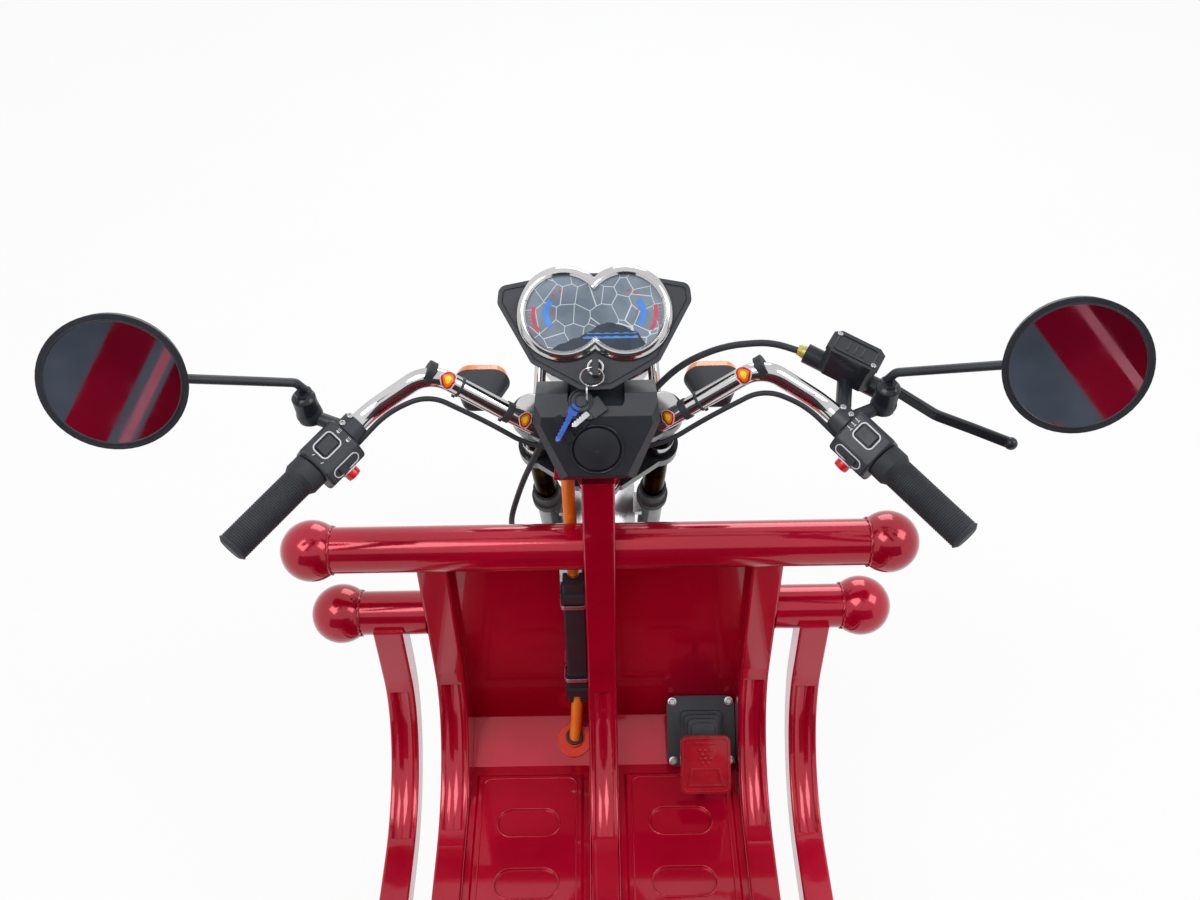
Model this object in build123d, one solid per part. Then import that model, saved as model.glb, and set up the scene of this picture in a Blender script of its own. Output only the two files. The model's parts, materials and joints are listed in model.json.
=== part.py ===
from build123d import *
import os
from math import atan2, cos, pi, radians, sin, tan

# Electric cargo tricycle: a raked fork in front, a tubular frame with a flat footwell, a seat
# over its battery box, and a steel load bed over a sprung, motor-driven rear axle.
# Millimetres. X is the rider's right, Y the way it travels, Z up. The origin is on the ground
# under the middle of the whole vehicle.

os.makedirs("parts", exist_ok=True)

# Main layout
wheelbase = 2300
bar_to_front_axle = 468
rear_overhang = 650
driver_room = 1450
track = 860
rear_guard_width = 130
half_turn = 180
tyre_radius = 255
tyre_width = 98
rake = 30
mudguard_radius = 284
mudguard_front_angle = 12
running_gap = 0.4
fit_gap = 0.3
sheet = 2
cut_over = 10

front_reach = mudguard_radius * cos(radians(mudguard_front_angle))
front_axle_y = (wheelbase + rear_overhang - front_reach) / 2
rear_axle_y = front_axle_y - wheelbase
bar_y = front_axle_y - bar_to_front_axle
tail_y = rear_axle_y - rear_overhang

# Guard bars
guard_diameter = 60
upper_guard_z = 741
upper_guard_half = 370
upper_ball = 80
lower_guard_z = 604
lower_guard_ahead = 9
lower_guard_half = 355
lower_ball = 81

# Frame tubes
rail_size = 40
rail_corner = 3
rail_top = 330
inner_rail_x = 217
outer_rail_x = 288
inner_rail_back = 18
outer_rail_back = 30
bend_radius = 170
groove_width = 28
groove_depth = 7
groove_end_angle = 8
rail_run_back = 900
kick_height = 230
kick_run = 170
kick_radius = 120
column_width = 40
column_depth = 44
column_back = 34
column_top = 884
cross_size = 40

# Head tube and fork, measured along and square to the fork legs from the axle
leg_x = 84
leg_offset = 45
head_low = 582
head_high = 688
head_outer = 54
head_cup = 62
cup_height = 12
stem_diameter = 30
lower_yoke_low = 556
yoke_thick = 24
upper_yoke_low = 690
upper_yoke_thick = 22
yoke_boss = 64
leg_clamp = 54
slider_diameter = 39
slider_top = 300
slider_low = 30
boot_diameter = 50
boot_height = 60
boot_bead = 21
boot_step = 4
boot_neck = 12
stanchion_diameter = 34
cap_diameter = 38
cap_height = 25
cap_bevel = 3
axle_diameter = 15
axle_nut = 26
axle_nut_thick = 12
hub_half = 45
spacer_diameter = 24
riser_diameter = 50
riser_back = 5
riser_top = 815

# Handlebar and what it carries, from the guard bar's axis
bar_diameter = 22
bar_center_back = 2
bar_center_z = 945
bar_straight = 66
bar_peak_x = 186
bar_peak_ahead = 2
bar_peak_z = 1030
bar_bend_x = 258
bar_bend_back = 14
bar_bend_z = 985
bar_end_x = 387
bar_end_back = 168
bar_end_z = 933
bar_bend_radii = (60, 38, 55)
clamp_width = 80
clamp_depth = 40
clamp_height = 36
grip_length = 122
grip_diameter = 34
grip_collar = 42
grip_collar_length = 16
grip_taper = 7
grip_bead = 3
pod_length = 52
pod_width = 54
pod_thick = 40
pod_near = 4
pod_slant = 14
pod_slant_drop = 10
pod_corner = 6
pod_round = 4
pod_turn = 40
pod_gap = 1
rocker_size = (17, 24)
rocker_far = 6
rocker_depth = 2
rocker_proud = 1.5
thumb_button = 13
thumb_button_proud = 8
thumb_button_drop = 14
grip_start = 92
perch_start = 20
perch_length = 18
perch_diameter = 34
master_start = (246, 62, 1000)
master_end = (334, 16, 976)
master_diameter = 24
master_tank = (40, 62, 30)
master_lid = 7
master_corner = 8
master_pivot = 17
master_arm = 18
lever_points_out = ((322, 30, 976), (352, 34, 964), (392, -2, 956), (430, -22, 952), (470, -42, 946))
lever_width = 13
lever_thick = 7
lever_corner = 2.5
lever_ball = 15
lever_bends = (14, 40, 60)
mirror_x = 467
mirror_back = 135
mirror_z = 1130
mirror_diameter = 140
mirror_depth = 36
mirror_skirt = 14
mirror_taper = 3
mirror_socket = 20
mirror_rim = 6
mirror_glass = 3
mirror_up = 18
mirror_in = 12
mirror_rod_diameter = 10
mirror_boot = 28
mirror_boot_height = 34
mirror_perch = (322, -20, 986)
mirror_bend = (326, -32, 1044)
mirror_bend_radius = 12
mirror_arm = 16

# Instrument, its bracket and the cover over the handlebar clamp, from the guard bar's axis
dial_center_ahead = 36
dial_center_z = 1080
dial_tilt = 45
dial_ring = 107
dial_spacing = 68
bezel_width = 11
bezel_height = 9
bezel_lip = 2.5
bezel_edge = 2
bezel_shoulder = (3, 6.5)
case_half = 108
case_depth = 52
case_corner = 10
case_back_share = 0.72
case_border = 5
case_groove = 1.4
lens_thick = 3
case_wing_shares = ((0.33, 0.42), (0.98, 0.30), (1.00, 0.12), (0.66, -0.50), (0.16, -0.78))
strap_width = 22
strap_thick = 5
strap_x = 26
cover_low = 912
cover_back = 60
cover_crease_back = 34
cover_crease_z = 990
cover_brow_back = 12
cover_brow_z = 1006
cover_top_ahead = 20
cover_top_z = 998
cover_ahead = 40
cover_front_z = 975
cover_half_low = 43
cover_half_high = 72
cover_half_top = 64
cover_widest_up = 72
cover_face_top = 140
cover_bevel = 9
cover_dish_half = 32
cover_dish_back = 27
cover_dish_floor = 997
cover_dish_corner = 10
cover_button = 60
cover_button_up = 42
cover_button_depth = 3
cover_button_ring = 4
cover_button_dome = 3
lock_diameter = 17
lock_height = 4
lock_down = 60
key_head = (7, 18, 26)
key_head_down = 62
key_wire = 1.8
key_ring_up = 47
key_ring_left = 4
key_ring_back = -10
key_ring_radius = 13
fob_ring_up = 26
fob_ring_left = 10
fob_ring_back = -12
fob_ring_radius = 11
key_fob = 28
key_fob_place = (-17, 17)
key_tag = (18, 20)
key_tag_place = (0, 10)
key_tag_turn = 35
key_gap = 1
key_thick = 4
key_bow = 16
key_width = 9
key_blade_thick = 2.5
key_over = 4
key_blades = ((-27, -45, 34, 5), (-8, -26, 16, 4))

# Lamps
headlamp_diameter = 168
headlamp_face = 37
headlamp_recess = 23
headlamp_rim_back = 9
headlamp_bowl = 64
headlamp_up_leg = 640
headlamp_ahead = 112
headlamp_rim = 10
headlamp_arm = 8
headlamp_arm_drop = 38
indicator_x = 151
indicator_ahead = 143
indicator_z = 880
indicator_size = (74, 46, 44)
indicator_tail_share = 0.55
indicator_tail_round = 6
indicator_lens = 14
indicator_nose_share = 0.9
indicator_nose_round = 4
indicator_drop = 24
stalk_diameter = 16

# Front mudguard
mudguard_half = 57
mudguard_crown = 22
mudguard_rear_angle = 205
mudguard_tab = 34

# Front brake
disc_diameter = 210
disc_plate = 4
disc_track = 30
disc_holes = 12
caliper_inner_x = 22
caliper_outer_x = 62
caliper_size = (62, 44)
caliper_slot = 8
caliper_reach = 92
caliper_arm = 14
hose_diameter = 8
hose_points_out = ((206, 74, 1008), (150, 66, 1010), (98, 52, 994), (52, 22, 962))
hose_lower_out = ((-40, 40, 945), (-55, 68, 900), (-76, 80, 838), (-103, 110, 752), (-126, 120, 668),
                  (-126, 180, 575), (-121, 255, 450), (-115, 318, 340), (-102, 360, 262), (-62, 380, 216))
cable_diameter = 6
cable_points_out = ((271, -49, 965), (234, -28, 996), (188, -12, 1008), (126, -12, 966), (84, -14, 934),
                    (46, -18, 926))
bend_fill_share = 0.45

# Rims, discs and hubs
rim_seat_radius = 152
rim_flange_radius = 163
rim_width = 74
rim_lip = 4
rim_wall = 4
rim_well_depth = 13
rim_well_half = 14
rim_slope = 8
spoke_plate = 12
spoke_holes = 6
spoke_hole = 56
spoke_hole_ring = 92
vent_hole = 34
vent_hole_ring = 111
hub_diameter = 78
tyre_wall = 9
tyre_bead = 12
tyre_shoulder_x = 42
tyre_shoulder_drop = 14
tyre_bulge_radius = 206
tread_groove = 5
tread_groove_x = 18
drum_diameter = 170
drum_width = 44
drum_gap = 2
backing_thick = 5

# Footwell panels
shield_ahead = 11
shield_low = 352
slope_back = 60
floor_z = 326
panel_side_gap = 1
plateau_height = 4
plateau_bevel = 3.6
plateau_inset = 9
plateau_front_back = 75
oval_length = 87
oval_width = 42
oval_first_back = 154
oval_pitch = 91
shield_notch = (-54, -24)
shield_notch_drop = 70

# Pedal
pedal_x = 145
pedal_base = (101, 103)
pedal_base_thick = 3
pedal_base_corner = 15
pedal_base_ahead = -31
pedal_base_z = 368
pedal_base_lean = 41
pedal_boot_low = 60
pedal_boot_high = 34
pedal_boot_height = 42
pedal_boot_ribs = 3
pedal_boot_rib = 9
pedal_boot_fold = 10
pedal_boot_corner = 7
pedal_arm_up = 25
pedal_pad_corner = 9
pedal_pad = (71, 81)
pedal_pad_thick = 9
pedal_pad_back = 106
pedal_pad_z = 395
pedal_tilt = 45
pedal_arm = 12

# Wiring
conduit_diameter = 17
conduit_x = -36
sleeve_x = (-50, -20.3)
sleeve_z = (420, 680)
sleeve_wall = 3
grommet_diameter = 50
grommet_x = -44
clip_inset = 26
clip_height = 16
conduit_points_out = ((-36.4, -3, 881), (-39, 40, 806), (-37, 40, 708), (-35.5, -2, 668), (-35.5, -2, 404),
                      (-44, -25, 339))
conduit_bends = (50, 40, 40, 60)
conduit_tab_low = 874
conduit_tab_thick = 5
conduit_tab_reach = 16
conduit_tab_back = 14

# Seat and battery box
seat_front_back = 475
box_length = 350
box_half = 232
box_height = 300
box_fillet = 16
box_lid = 26
box_rib = 5
box_ribs = 5
seat_length = 400
seat_half = 210
seat_thick = 92
seat_fillet = 26
back_height = 330
back_thick = 70
back_half = 190
back_gap = 40
back_tube = 25
back_tube_x = 150
back_tube_reach = 231

# Load bed
bed_length = wheelbase + rear_overhang - driver_room
guard_inset = 5
bed_width = track + rear_guard_width + 2 * guard_inset
bed_floor_z = 601
bed_sheet = 3
bearer_height = 38
bearer_width = 40
bearer_count = 5
wall_height = 350
wall_tube = 30
rib_pitch = 96
rib_depth = 14
rib_slope = 12
gate_gap = 5
hinge_diameter = 16
hinge_pin = 8
hinge_low = 12
hinge_out = 10
knuckle_length = 40
hinge_x = 360
latch_size = (16, 14, 70)

# Rear axle, springs and motor
longeron_z = 540
axle_tube = 56
axle_tube_short = 92
axle_tube_half = track / 2 - axle_tube_short
half_shaft = 28
shaft_nut = 45
diff_round = 36
diff_diameter = 170
diff_half = 62
motor_diameter = 146
motor_length = 180
motor_ahead = 132
motor_up = 16
motor_ribs = 7
motor_rib = 5
motor_start_x = -30
spring_half = 400
spring_camber = 80
leaf_thick = 7
leaf_width = 50
leaf_length_shares = (1.0, 0.86, 0.70, 0.54, 0.38)
spring_pad = 10
eye_diameter = 36
eye_pin = 16
hanger_plate = 5
hanger_length = 56
shackle_height = 66
u_bolt = 10
u_bolt_y = 36
u_bolt_plate = 8
rear_guard_angle = 158
rear_guard_edge = 14
tail_lamp_size = (150, 44, 62)
tail_lamp_x = 330
tail_lamp_lens = 16
tail_bracket = 6

# Places worked out from the sizes above
axle_z = tyre_radius
rail_z = rail_top - rail_size / 2
column_z = rail_top - column_depth / 2
inner_rail_y = bar_y - inner_rail_back + rail_size / 2
outer_rail_y = bar_y - outer_rail_back + rail_size / 2
column_y = bar_y - column_back + column_depth / 2
rail_bend = bend_radius + rail_size / 2
kick_start_y = bar_y - rail_run_back
kick_end_y = kick_start_y - kick_run
box_front_y = bar_y - seat_front_back
box_rear_y = box_front_y - box_length
box_top = rail_top + box_height
bed_front_y = tail_y + bed_length
bed_under = bed_floor_z - bed_sheet
bearer_low = bed_under - bearer_height
gate_low = bed_floor_z + gate_gap
wall_top = bed_floor_z + wall_height
hinge_y = tail_y - hinge_out
hinge_z = bed_floor_z - hinge_low
leg_plane = Plane(origin=(0, front_axle_y, axle_z), x_dir=(1, 0, 0),
                  z_dir=(0, -sin(radians(rake)), cos(radians(rake))))
dial_plane = Plane(origin=(0, bar_y + dial_center_ahead, dial_center_z), x_dir=(1, 0, 0),
                   z_dir=(0, -sin(radians(dial_tilt)), cos(radians(dial_tilt))))


def block(x, y, z):
    """A box between a low and a high limit along each axis."""
    sizes = [max(pair) - min(pair) for pair in (x, y, z)]
    middles = [sum(pair) / 2 for pair in (x, y, z)]
    return Pos(*middles) * Box(*sizes)


def rod(start, end, diameter):
    """A round bar from one point to another."""
    start, end = Vector(*start), Vector(*end)
    plane = Plane(origin=start, z_dir=end - start)
    return extrude(plane * Circle(diameter / 2), amount=(end - start).length)


def swept(points, radii, section):
    """A section swept along straight runs joined by arcs."""
    path = FilletPolyline(*points, radius=radii)
    across = Plane(origin=path @ 0, x_dir=section_x(path % 0), z_dir=path % 0)
    return sweep(across * section, path=path)


def section_x(direction):
    """A direction square to a path's start that keeps a section level."""
    level = Vector(1, 0, 0)
    return level if abs(direction.X) < 0.9 else Vector(0, 0, 1)


def mirrored(shape):
    """A shape and its twin on the other side."""
    return [shape, mirror(shape, about=Plane.YZ)]


def joined(first, *others):
    """One solid from pieces that touch."""
    whole = first
    for other in others:
        whole = whole + other
    return whole


def in_leg(shape):
    """Places a shape that is drawn along the fork legs."""
    return leg_plane.location * shape


def from_bar(x, ahead, z):
    """A point given by its distance ahead of the guard bar."""
    return (x, bar_y + ahead, z)


def save(name, *shapes):
    """Writes one sub-part."""
    solids = [solid for shape in shapes for solid in shape.solids()]
    whole = solids[0] if len(solids) == 1 else Compound(children=solids)
    export_step(whole, os.path.join("parts", name + ".step"))


def square_tube(points, radii, depth=rail_size):
    """A square frame tube bent along a path."""
    return swept(points, radii, RectangleRounded(rail_size, depth, rail_corner))


def crimp(x, tube_y, tube_z, depth=rail_size):
    """The hollow pressed into the inside of a tube's front bend."""
    chord, deep = groove_width / 2, groove_depth
    ball = (chord * chord + deep * deep) / (2 * deep)
    ring = rail_bend - depth / 2 + deep - ball
    axis_y, axis_z = tube_y - rail_bend, tube_z + rail_bend
    turn = 90 - 2 * groove_end_angle
    start = radians(groove_end_angle)
    center = (x, axis_y + ring * cos(start), axis_z - ring * sin(start))
    plane = Plane(origin=center, x_dir=(1, 0, 0), z_dir=(0, -sin(start), -cos(start)))
    return revolve(plane * Circle(ball), axis=Axis((x, axis_y, axis_z), (-1, 0, 0)), revolution_arc=turn)


def inner_rail():
    """A rail from the upper guard bar down, back under the seat and up to carry the bed."""
    points = [(inner_rail_x, inner_rail_y, upper_guard_z), (inner_rail_x, inner_rail_y, rail_z),
              (inner_rail_x, kick_start_y, rail_z), (inner_rail_x, kick_end_y, longeron_z),
              (inner_rail_x, tail_y + rail_size, longeron_z)]
    tube = square_tube(points, (rail_bend, kick_radius, kick_radius))
    bar = rod(from_bar(0, 0, upper_guard_z), from_bar(upper_guard_half, 0, upper_guard_z), guard_diameter)
    return tube - crimp(inner_rail_x, inner_rail_y, rail_z) - bar


def outer_rail():
    """A shorter rail from the lower guard bar down and back beside the footwell."""
    points = [(outer_rail_x, outer_rail_y, lower_guard_z), (outer_rail_x, outer_rail_y, rail_z),
              (outer_rail_x, kick_start_y, rail_z)]
    tube = square_tube(points, (rail_bend,))
    return tube - crimp(outer_rail_x, outer_rail_y, rail_z) - lower_guard_stub(0)


def upper_guard():
    """Half of the upper guard bar, from the column to its ball end."""
    bar = rod(from_bar(column_width / 2, 0, upper_guard_z), from_bar(upper_guard_half, 0, upper_guard_z),
              guard_diameter)
    return bar + Pos(*from_bar(upper_guard_half, 0, upper_guard_z)) * Sphere(upper_ball / 2)


def lower_guard_stub(start):
    """The lower guard bar's bar from a given distance off centre."""
    return rod(from_bar(start, lower_guard_ahead, lower_guard_z),
               from_bar(lower_guard_half, lower_guard_ahead, lower_guard_z), guard_diameter)


def lower_guard():
    """One stub of the lower guard bar with its ball end."""
    ball = Pos(*from_bar(lower_guard_half, lower_guard_ahead, lower_guard_z)) * Sphere(lower_ball / 2)
    return lower_guard_stub(inner_rail_x + rail_size / 2) + ball


def centre_column():
    """The column with its bend and floor rail, its conduit tab, and the neck that carries the head tube."""
    points = [(0, column_y, column_top), (0, column_y, column_z), (0, kick_start_y, column_z)]
    column = swept(points, (rail_bend,), RectangleRounded(column_width, column_depth, rail_corner))
    head = in_leg(Pos(0, -leg_offset, (head_low + head_high) / 2)
                  * Cylinder(head_outer / 2, head_high - head_low))
    cups = [in_leg(Pos(0, -leg_offset, z) * Cylinder(head_cup / 2, cup_height))
            for z in (head_low + cup_height / 2, head_high - cup_height / 2)]
    whole = column - crimp(0, column_y, column_z, column_depth) + neck() + head + cups + conduit_tab()
    bore = in_leg(Pos(0, -leg_offset, (head_low + head_high) / 2)
                  * Cylinder(stem_diameter / 2 + running_gap, head_high - head_low + cut_over))
    return whole - bore


def conduit_tab():
    """A tab on the column's left side that holds the top of the conduit."""
    start, end = Vector(*from_bar(*conduit_points_out[0])), Vector(*from_bar(*conduit_points_out[1]))
    front = column_y + column_depth / 2
    tab = block((start.X - conduit_tab_reach, -column_width / 2), (start.Y - conduit_tab_back + sheet, front),
                (conduit_tab_low, conduit_tab_low + conduit_tab_thick))
    return tab - rod(start, end, conduit_diameter + 2 * fit_gap)


def neck():
    """A box gusset from the column's front face into the head tube."""
    front = column_y + column_depth / 2
    low = leg_point(-leg_offset, head_low + cup_height)
    high = leg_point(-leg_offset, head_high - cup_height)
    drop = head_outer / 2
    outline = Polyline((front, low.Z - drop), (low.Y, low.Z), (high.Y, high.Z), (front, high.Z - drop),
                       close=True)
    return extrude(Plane.YZ * make_face(outline), amount=column_width / 2, both=True)


def leg_point(ahead, along):
    """A point in the vehicle's frame from its place along the fork legs."""
    return (leg_plane.location * Pos(0, ahead, along)).position


def chassis_frame():
    """Cross tubes, spring hangers, bed bearers' longeron ties and the seat's cross tube."""
    half = outer_rail_x + rail_size / 2
    inside = inner_rail_x - rail_size / 2
    low = longeron_z - rail_size / 2
    high = longeron_z + rail_size / 2
    rails = mirrored(inner_rail()) + mirrored(outer_rail())
    seat_tie = block((-half, half), (kick_start_y - rail_size, kick_start_y),
                     (rail_top - rail_size, rail_top))
    ties = [block((-inside, inside), (y - cross_size / 2, y + cross_size / 2), (low, high))
            for y in tie_stations()]
    floor_ties = [block((column_width / 2, inside), (y - cross_size / 2, y + cross_size / 2),
                        (floor_z - sheet - cross_size / 2, floor_z - sheet)) for y in floor_tie_stations()]
    floor_ties = [side for tie in floor_ties for side in mirrored(tie)]
    lamp_reach = tail_lamp_x + tail_lamp_size[0] / 2
    tail_tie = block((-lamp_reach, lamp_reach), (tail_y + rail_size - tail_bracket, tail_y + rail_size),
                     (low - rail_size, high))
    hangers = [side for end in (-1, 1) for side in mirrored(spring_hanger(end))]
    return [seat_tie - rails, *ties, *floor_ties, tail_tie, *hangers]


def tie_stations():
    """Where the cross tubes stand between the longerons."""
    first, last = kick_end_y - rail_size, tail_y + 2 * rail_size
    near, far = rear_axle_y + spring_half / 2, rear_axle_y - spring_half / 2
    return (first, near, far, last)


def floor_tie_stations():
    """Where the short tubes under the floor panels stand."""
    first = bar_y - oval_first_back - oval_pitch / 2
    return (first, first - 2 * oval_pitch)


def spring_eye(end):
    """Centre of a spring's eye: 1 is the front end, -1 the rear."""
    top = axle_z + axle_tube / 2 + spring_pad + leaf_thick * len(leaf_length_shares)
    return (inner_rail_x, rear_axle_y + end * spring_half, top - leaf_thick / 2 + spring_camber)


def spring_hanger(end):
    """Two plates and a pin: round the front eye, or above the rear eye to hold the shackle."""
    x, y, z = spring_eye(end)
    low = z if end > 0 else z + shackle_height
    near = leaf_width / 2 + running_gap if end > 0 else leaf_width / 2 + hanger_plate + 2 * running_gap
    top = longeron_z - rail_size / 2
    along = (y - hanger_length / 2, y + hanger_length / 2)
    plates = [block((x + side * near, x + side * (near + hanger_plate)), along, (low - eye_diameter / 2, top))
              for side in (-1, 1)]
    reach = near + 2 * hanger_plate
    pin = rod((x - reach, y, low), (x + reach, y, low), eye_pin)
    saddle = block((x - near - hanger_plate, x + near + hanger_plate), along, (top - hanger_plate, top))
    return plates[0] + plates[1] + pin + saddle


def arc_strip(inner, outer, half_angle):
    """A strip between two arcs about the origin, hanging below it."""
    def at(radius, angle):
        return (radius * sin(angle), -radius * cos(angle))
    low = ThreePointArc(at(outer, -half_angle), at(outer, 0), at(outer, half_angle))
    high = ThreePointArc(at(inner, half_angle), at(inner, 0), at(inner, -half_angle))
    ends = [Line(at(outer, side * half_angle), at(inner, side * half_angle)) for side in (-1, 1)]
    return make_face([low, high, *ends])


def leaf_spring():
    """A stack of leaves with eyes on the longest one."""
    radius = (spring_half ** 2 + spring_camber ** 2) / (2 * spring_camber)
    half_angle = atan2(spring_half, radius - spring_camber)
    x, y, eye_z = spring_eye(1)
    center = Plane(origin=(x, rear_axle_y, eye_z - spring_camber + radius), x_dir=(0, 1, 0), z_dir=(1, 0, 0))
    stack = None
    for place, share in enumerate(leaf_length_shares):
        inner = radius + (place - 0.5) * leaf_thick
        strip = center * arc_strip(inner, inner + leaf_thick, half_angle * share)
        leaf = extrude(strip, amount=leaf_width / 2, both=True)
        stack = leaf if stack is None else stack + leaf
    for end in (-1, 1):
        stack += eye_tube(end, eye_diameter)
    for end in (-1, 1):
        stack -= eye_tube(end, eye_pin + 2 * fit_gap)
    return stack


def eye_tube(end, diameter):
    """A round across the spring at one of its eyes."""
    x, y, z = spring_eye(end)
    half = leaf_width / 2
    return rod((x - half, y, z), (x + half, y, z), diameter)


def shackle():
    """Two links and a pin that hang the spring's rear eye from its bracket."""
    x, y, z = spring_eye(-1)
    near = leaf_width / 2 + running_gap
    high = z + shackle_height
    pin = rod((x - near, y, z), (x + near, y, z), eye_pin)
    links = []
    for side in (-1, 1):
        plane = Plane(origin=(x + side * near, y, 0), x_dir=(0, 1, 0), z_dir=(1, 0, 0))
        outline = Pos(0, (z + high) / 2) * SlotCenterToCenter(shackle_height, eye_diameter, rotation=90)
        link = extrude(plane * outline, amount=side * hanger_plate)
        links.append(link - rod((x - 2 * near, y, high), (x + 2 * near, y, high), eye_pin + 2 * fit_gap))
    return pin + links[0] + links[1]


def u_bolts():
    """Two bent bolts over the spring and the plate under the axle that they pull up."""
    x = inner_rail_x
    half = leaf_width / 2 + u_bolt / 2 + fit_gap
    top = spring_eye(1)[2] - spring_camber + leaf_thick / 2 + u_bolt / 2
    plate_top = axle_z - axle_tube / 2
    low = plate_top - u_bolt_plate - u_bolt
    bolts = [swept([(x - half, rear_axle_y + y, low), (x - half, rear_axle_y + y, top),
                    (x + half, rear_axle_y + y, top), (x + half, rear_axle_y + y, low)],
                   (u_bolt, u_bolt), Circle(u_bolt / 2)) for y in (-u_bolt_y, u_bolt_y)]
    plate = block((x - half - u_bolt, x + half + u_bolt),
                  (rear_axle_y - u_bolt_y - u_bolt, rear_axle_y + u_bolt_y + u_bolt),
                  (plate_top - u_bolt_plate, plate_top))
    return bolts[0] + bolts[1] + plate - leaf_spring()


def rear_axle():
    """Axle tube, gear housing, spring pads, half shafts and brake backing plates."""
    def along(start, end, diameter):
        return rod((start, rear_axle_y, axle_z), (end, rear_axle_y, axle_z), diameter)
    housing = Pos(0, rear_axle_y, axle_z) * Rot(0, 90, 0) * fillet_ends(diff_diameter / 2, 2 * diff_half)
    whole = along(-axle_tube_half, axle_tube_half, axle_tube) + housing
    reach = track / 2 + hub_half + 2 * axle_nut_thick
    plate_x = backing_plate_x()
    for side in (-1, 1):
        shaft = along(side * axle_tube_half, side * reach, half_shaft)
        nut_start = side * (track / 2 + hub_half + running_gap)
        nut = along(nut_start, nut_start + side * axle_nut_thick, shaft_nut)
        plate = along(side * plate_x, side * (plate_x + backing_thick), drum_diameter + 2 * backing_thick)
        hub = along(side * axle_tube_half, side * plate_x, axle_tube)
        pad = block((side * inner_rail_x - leaf_width / 2, side * inner_rail_x + leaf_width / 2),
                    (rear_axle_y - u_bolt_y + u_bolt, rear_axle_y + u_bolt_y - u_bolt),
                    (axle_z, axle_z + axle_tube / 2 + spring_pad))
        whole = whole + shaft + nut + plate + hub + pad
    return whole


def backing_plate_x():
    """How far out the inner face of a brake backing plate stands."""
    return track / 2 - hub_half - drum_gap - backing_thick


def fillet_ends(radius, length):
    """A cylinder along Z with rounded ends."""
    body = Cylinder(radius, length)
    return fillet(body.edges().filter_by(GeomType.CIRCLE), diff_round)


def drive_motor():
    """The motor beside the gear housing, with cooling rings and its mounting neck."""
    center_y, center_z = rear_axle_y + motor_ahead, axle_z + motor_up

    def along(start, end, diameter):
        return rod((start, center_y, center_z), (end, center_y, center_z), diameter)
    body = along(motor_start_x, motor_start_x + motor_length, motor_diameter)
    pitch = motor_length / (motor_ribs + 1)
    for place in range(motor_ribs):
        x = motor_start_x + pitch * (place + 1)
        body += along(x - motor_rib / 2, x + motor_rib / 2, motor_diameter + 2 * motor_rib)
    neck_block = block((motor_start_x, diff_half), (rear_axle_y, center_y),
                       (axle_z - axle_tube, axle_z + axle_tube))
    return body + neck_block - rear_axle()


def rim_section():
    """Half-open channel of a drop-centre rim, with X across the wheel and Y its radius."""
    half, lip = rim_width / 2, rim_lip
    seat, well = rim_seat_radius, rim_seat_radius - rim_well_depth
    foot = rim_well_half + rim_slope
    outer = [(half, rim_flange_radius), (half - lip, rim_flange_radius), (half - lip, seat),
             (foot, seat), (rim_well_half, well)]
    inner = [(rim_well_half, well - rim_wall), (foot, seat - rim_wall), (half, seat - rim_wall)]
    left_outer = [(-x, r) for x, r in reversed(outer)]
    left_inner = [(-x, r) for x, r in reversed(inner)]
    return make_face(Polyline(*outer, *left_outer, *left_inner, *inner, close=True))


def wheel_rim(bore, drum_side=0):
    """Rim, spoke plate and hub about the X axis, with a brake drum on one side if wanted."""
    rim = revolve(rim_section(), axis=Axis.X)
    plate_radius = rim_seat_radius - rim_well_depth - rim_wall
    plate = across(plate_radius, spoke_plate)
    hub = across(hub_diameter / 2, 2 * hub_half)
    whole = rim + plate + hub
    if drum_side:
        middle = drum_side * (hub_half - drum_width / 2)
        whole += Pos(middle, 0, 0) * across(drum_diameter / 2, drum_width)
    hole, ring = (vent_hole, vent_hole_ring) if drum_side else (spoke_hole, spoke_hole_ring)
    for place in range(spoke_holes):
        angle = 2 * pi * place / spoke_holes
        whole -= Pos(0, ring * cos(angle), ring * sin(angle)) * across(hole / 2, 2 * spoke_plate)
    return whole - across(bore / 2, 2 * hub_half + cut_over)


def across(radius, width):
    """A cylinder about the X axis."""
    return Rot(0, 90, 0) * Cylinder(radius, width)


def tyre():
    """A tyre about the X axis, its beads on the rim's seats."""
    seat_x, seat = rim_width / 2 - rim_lip, rim_seat_radius
    shoulder = tyre_radius - tyre_shoulder_drop
    outer = [Line((seat_x, seat), (seat_x, rim_flange_radius)),
             ThreePointArc((seat_x, rim_flange_radius), (tyre_width / 2, tyre_bulge_radius),
                           (tyre_shoulder_x, shoulder)),
             ThreePointArc((tyre_shoulder_x, shoulder), (0, tyre_radius), (-tyre_shoulder_x, shoulder)),
             ThreePointArc((-tyre_shoulder_x, shoulder), (-tyre_width / 2, tyre_bulge_radius),
                           (-seat_x, rim_flange_radius)),
             Line((-seat_x, rim_flange_radius), (-seat_x, seat))]
    bead_x = seat_x - tyre_bead
    inside = tyre_shoulder_x - tyre_wall
    inner_low = shoulder - tyre_wall
    wall_x = tyre_width / 2 - tyre_wall
    crown = tyre_radius - tyre_wall - tread_groove
    inner = [Line((-seat_x, seat), (-bead_x, seat)),
             ThreePointArc((-bead_x, seat), (-wall_x, tyre_bulge_radius), (-inside, inner_low)),
             ThreePointArc((-inside, inner_low), (0, crown), (inside, inner_low)),
             ThreePointArc((inside, inner_low), (wall_x, tyre_bulge_radius), (bead_x, seat)),
             Line((bead_x, seat), (seat_x, seat))]
    whole = revolve(make_face([*outer, *inner]), axis=Axis.X)
    for x in (-tread_groove_x, tread_groove_x):
        ring = Pos(x, 0, 0) * (across(tyre_radius + cut_over, tread_groove)
                               - across(tyre_radius - tread_groove, tread_groove + cut_over))
        whole -= ring
    return whole


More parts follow.
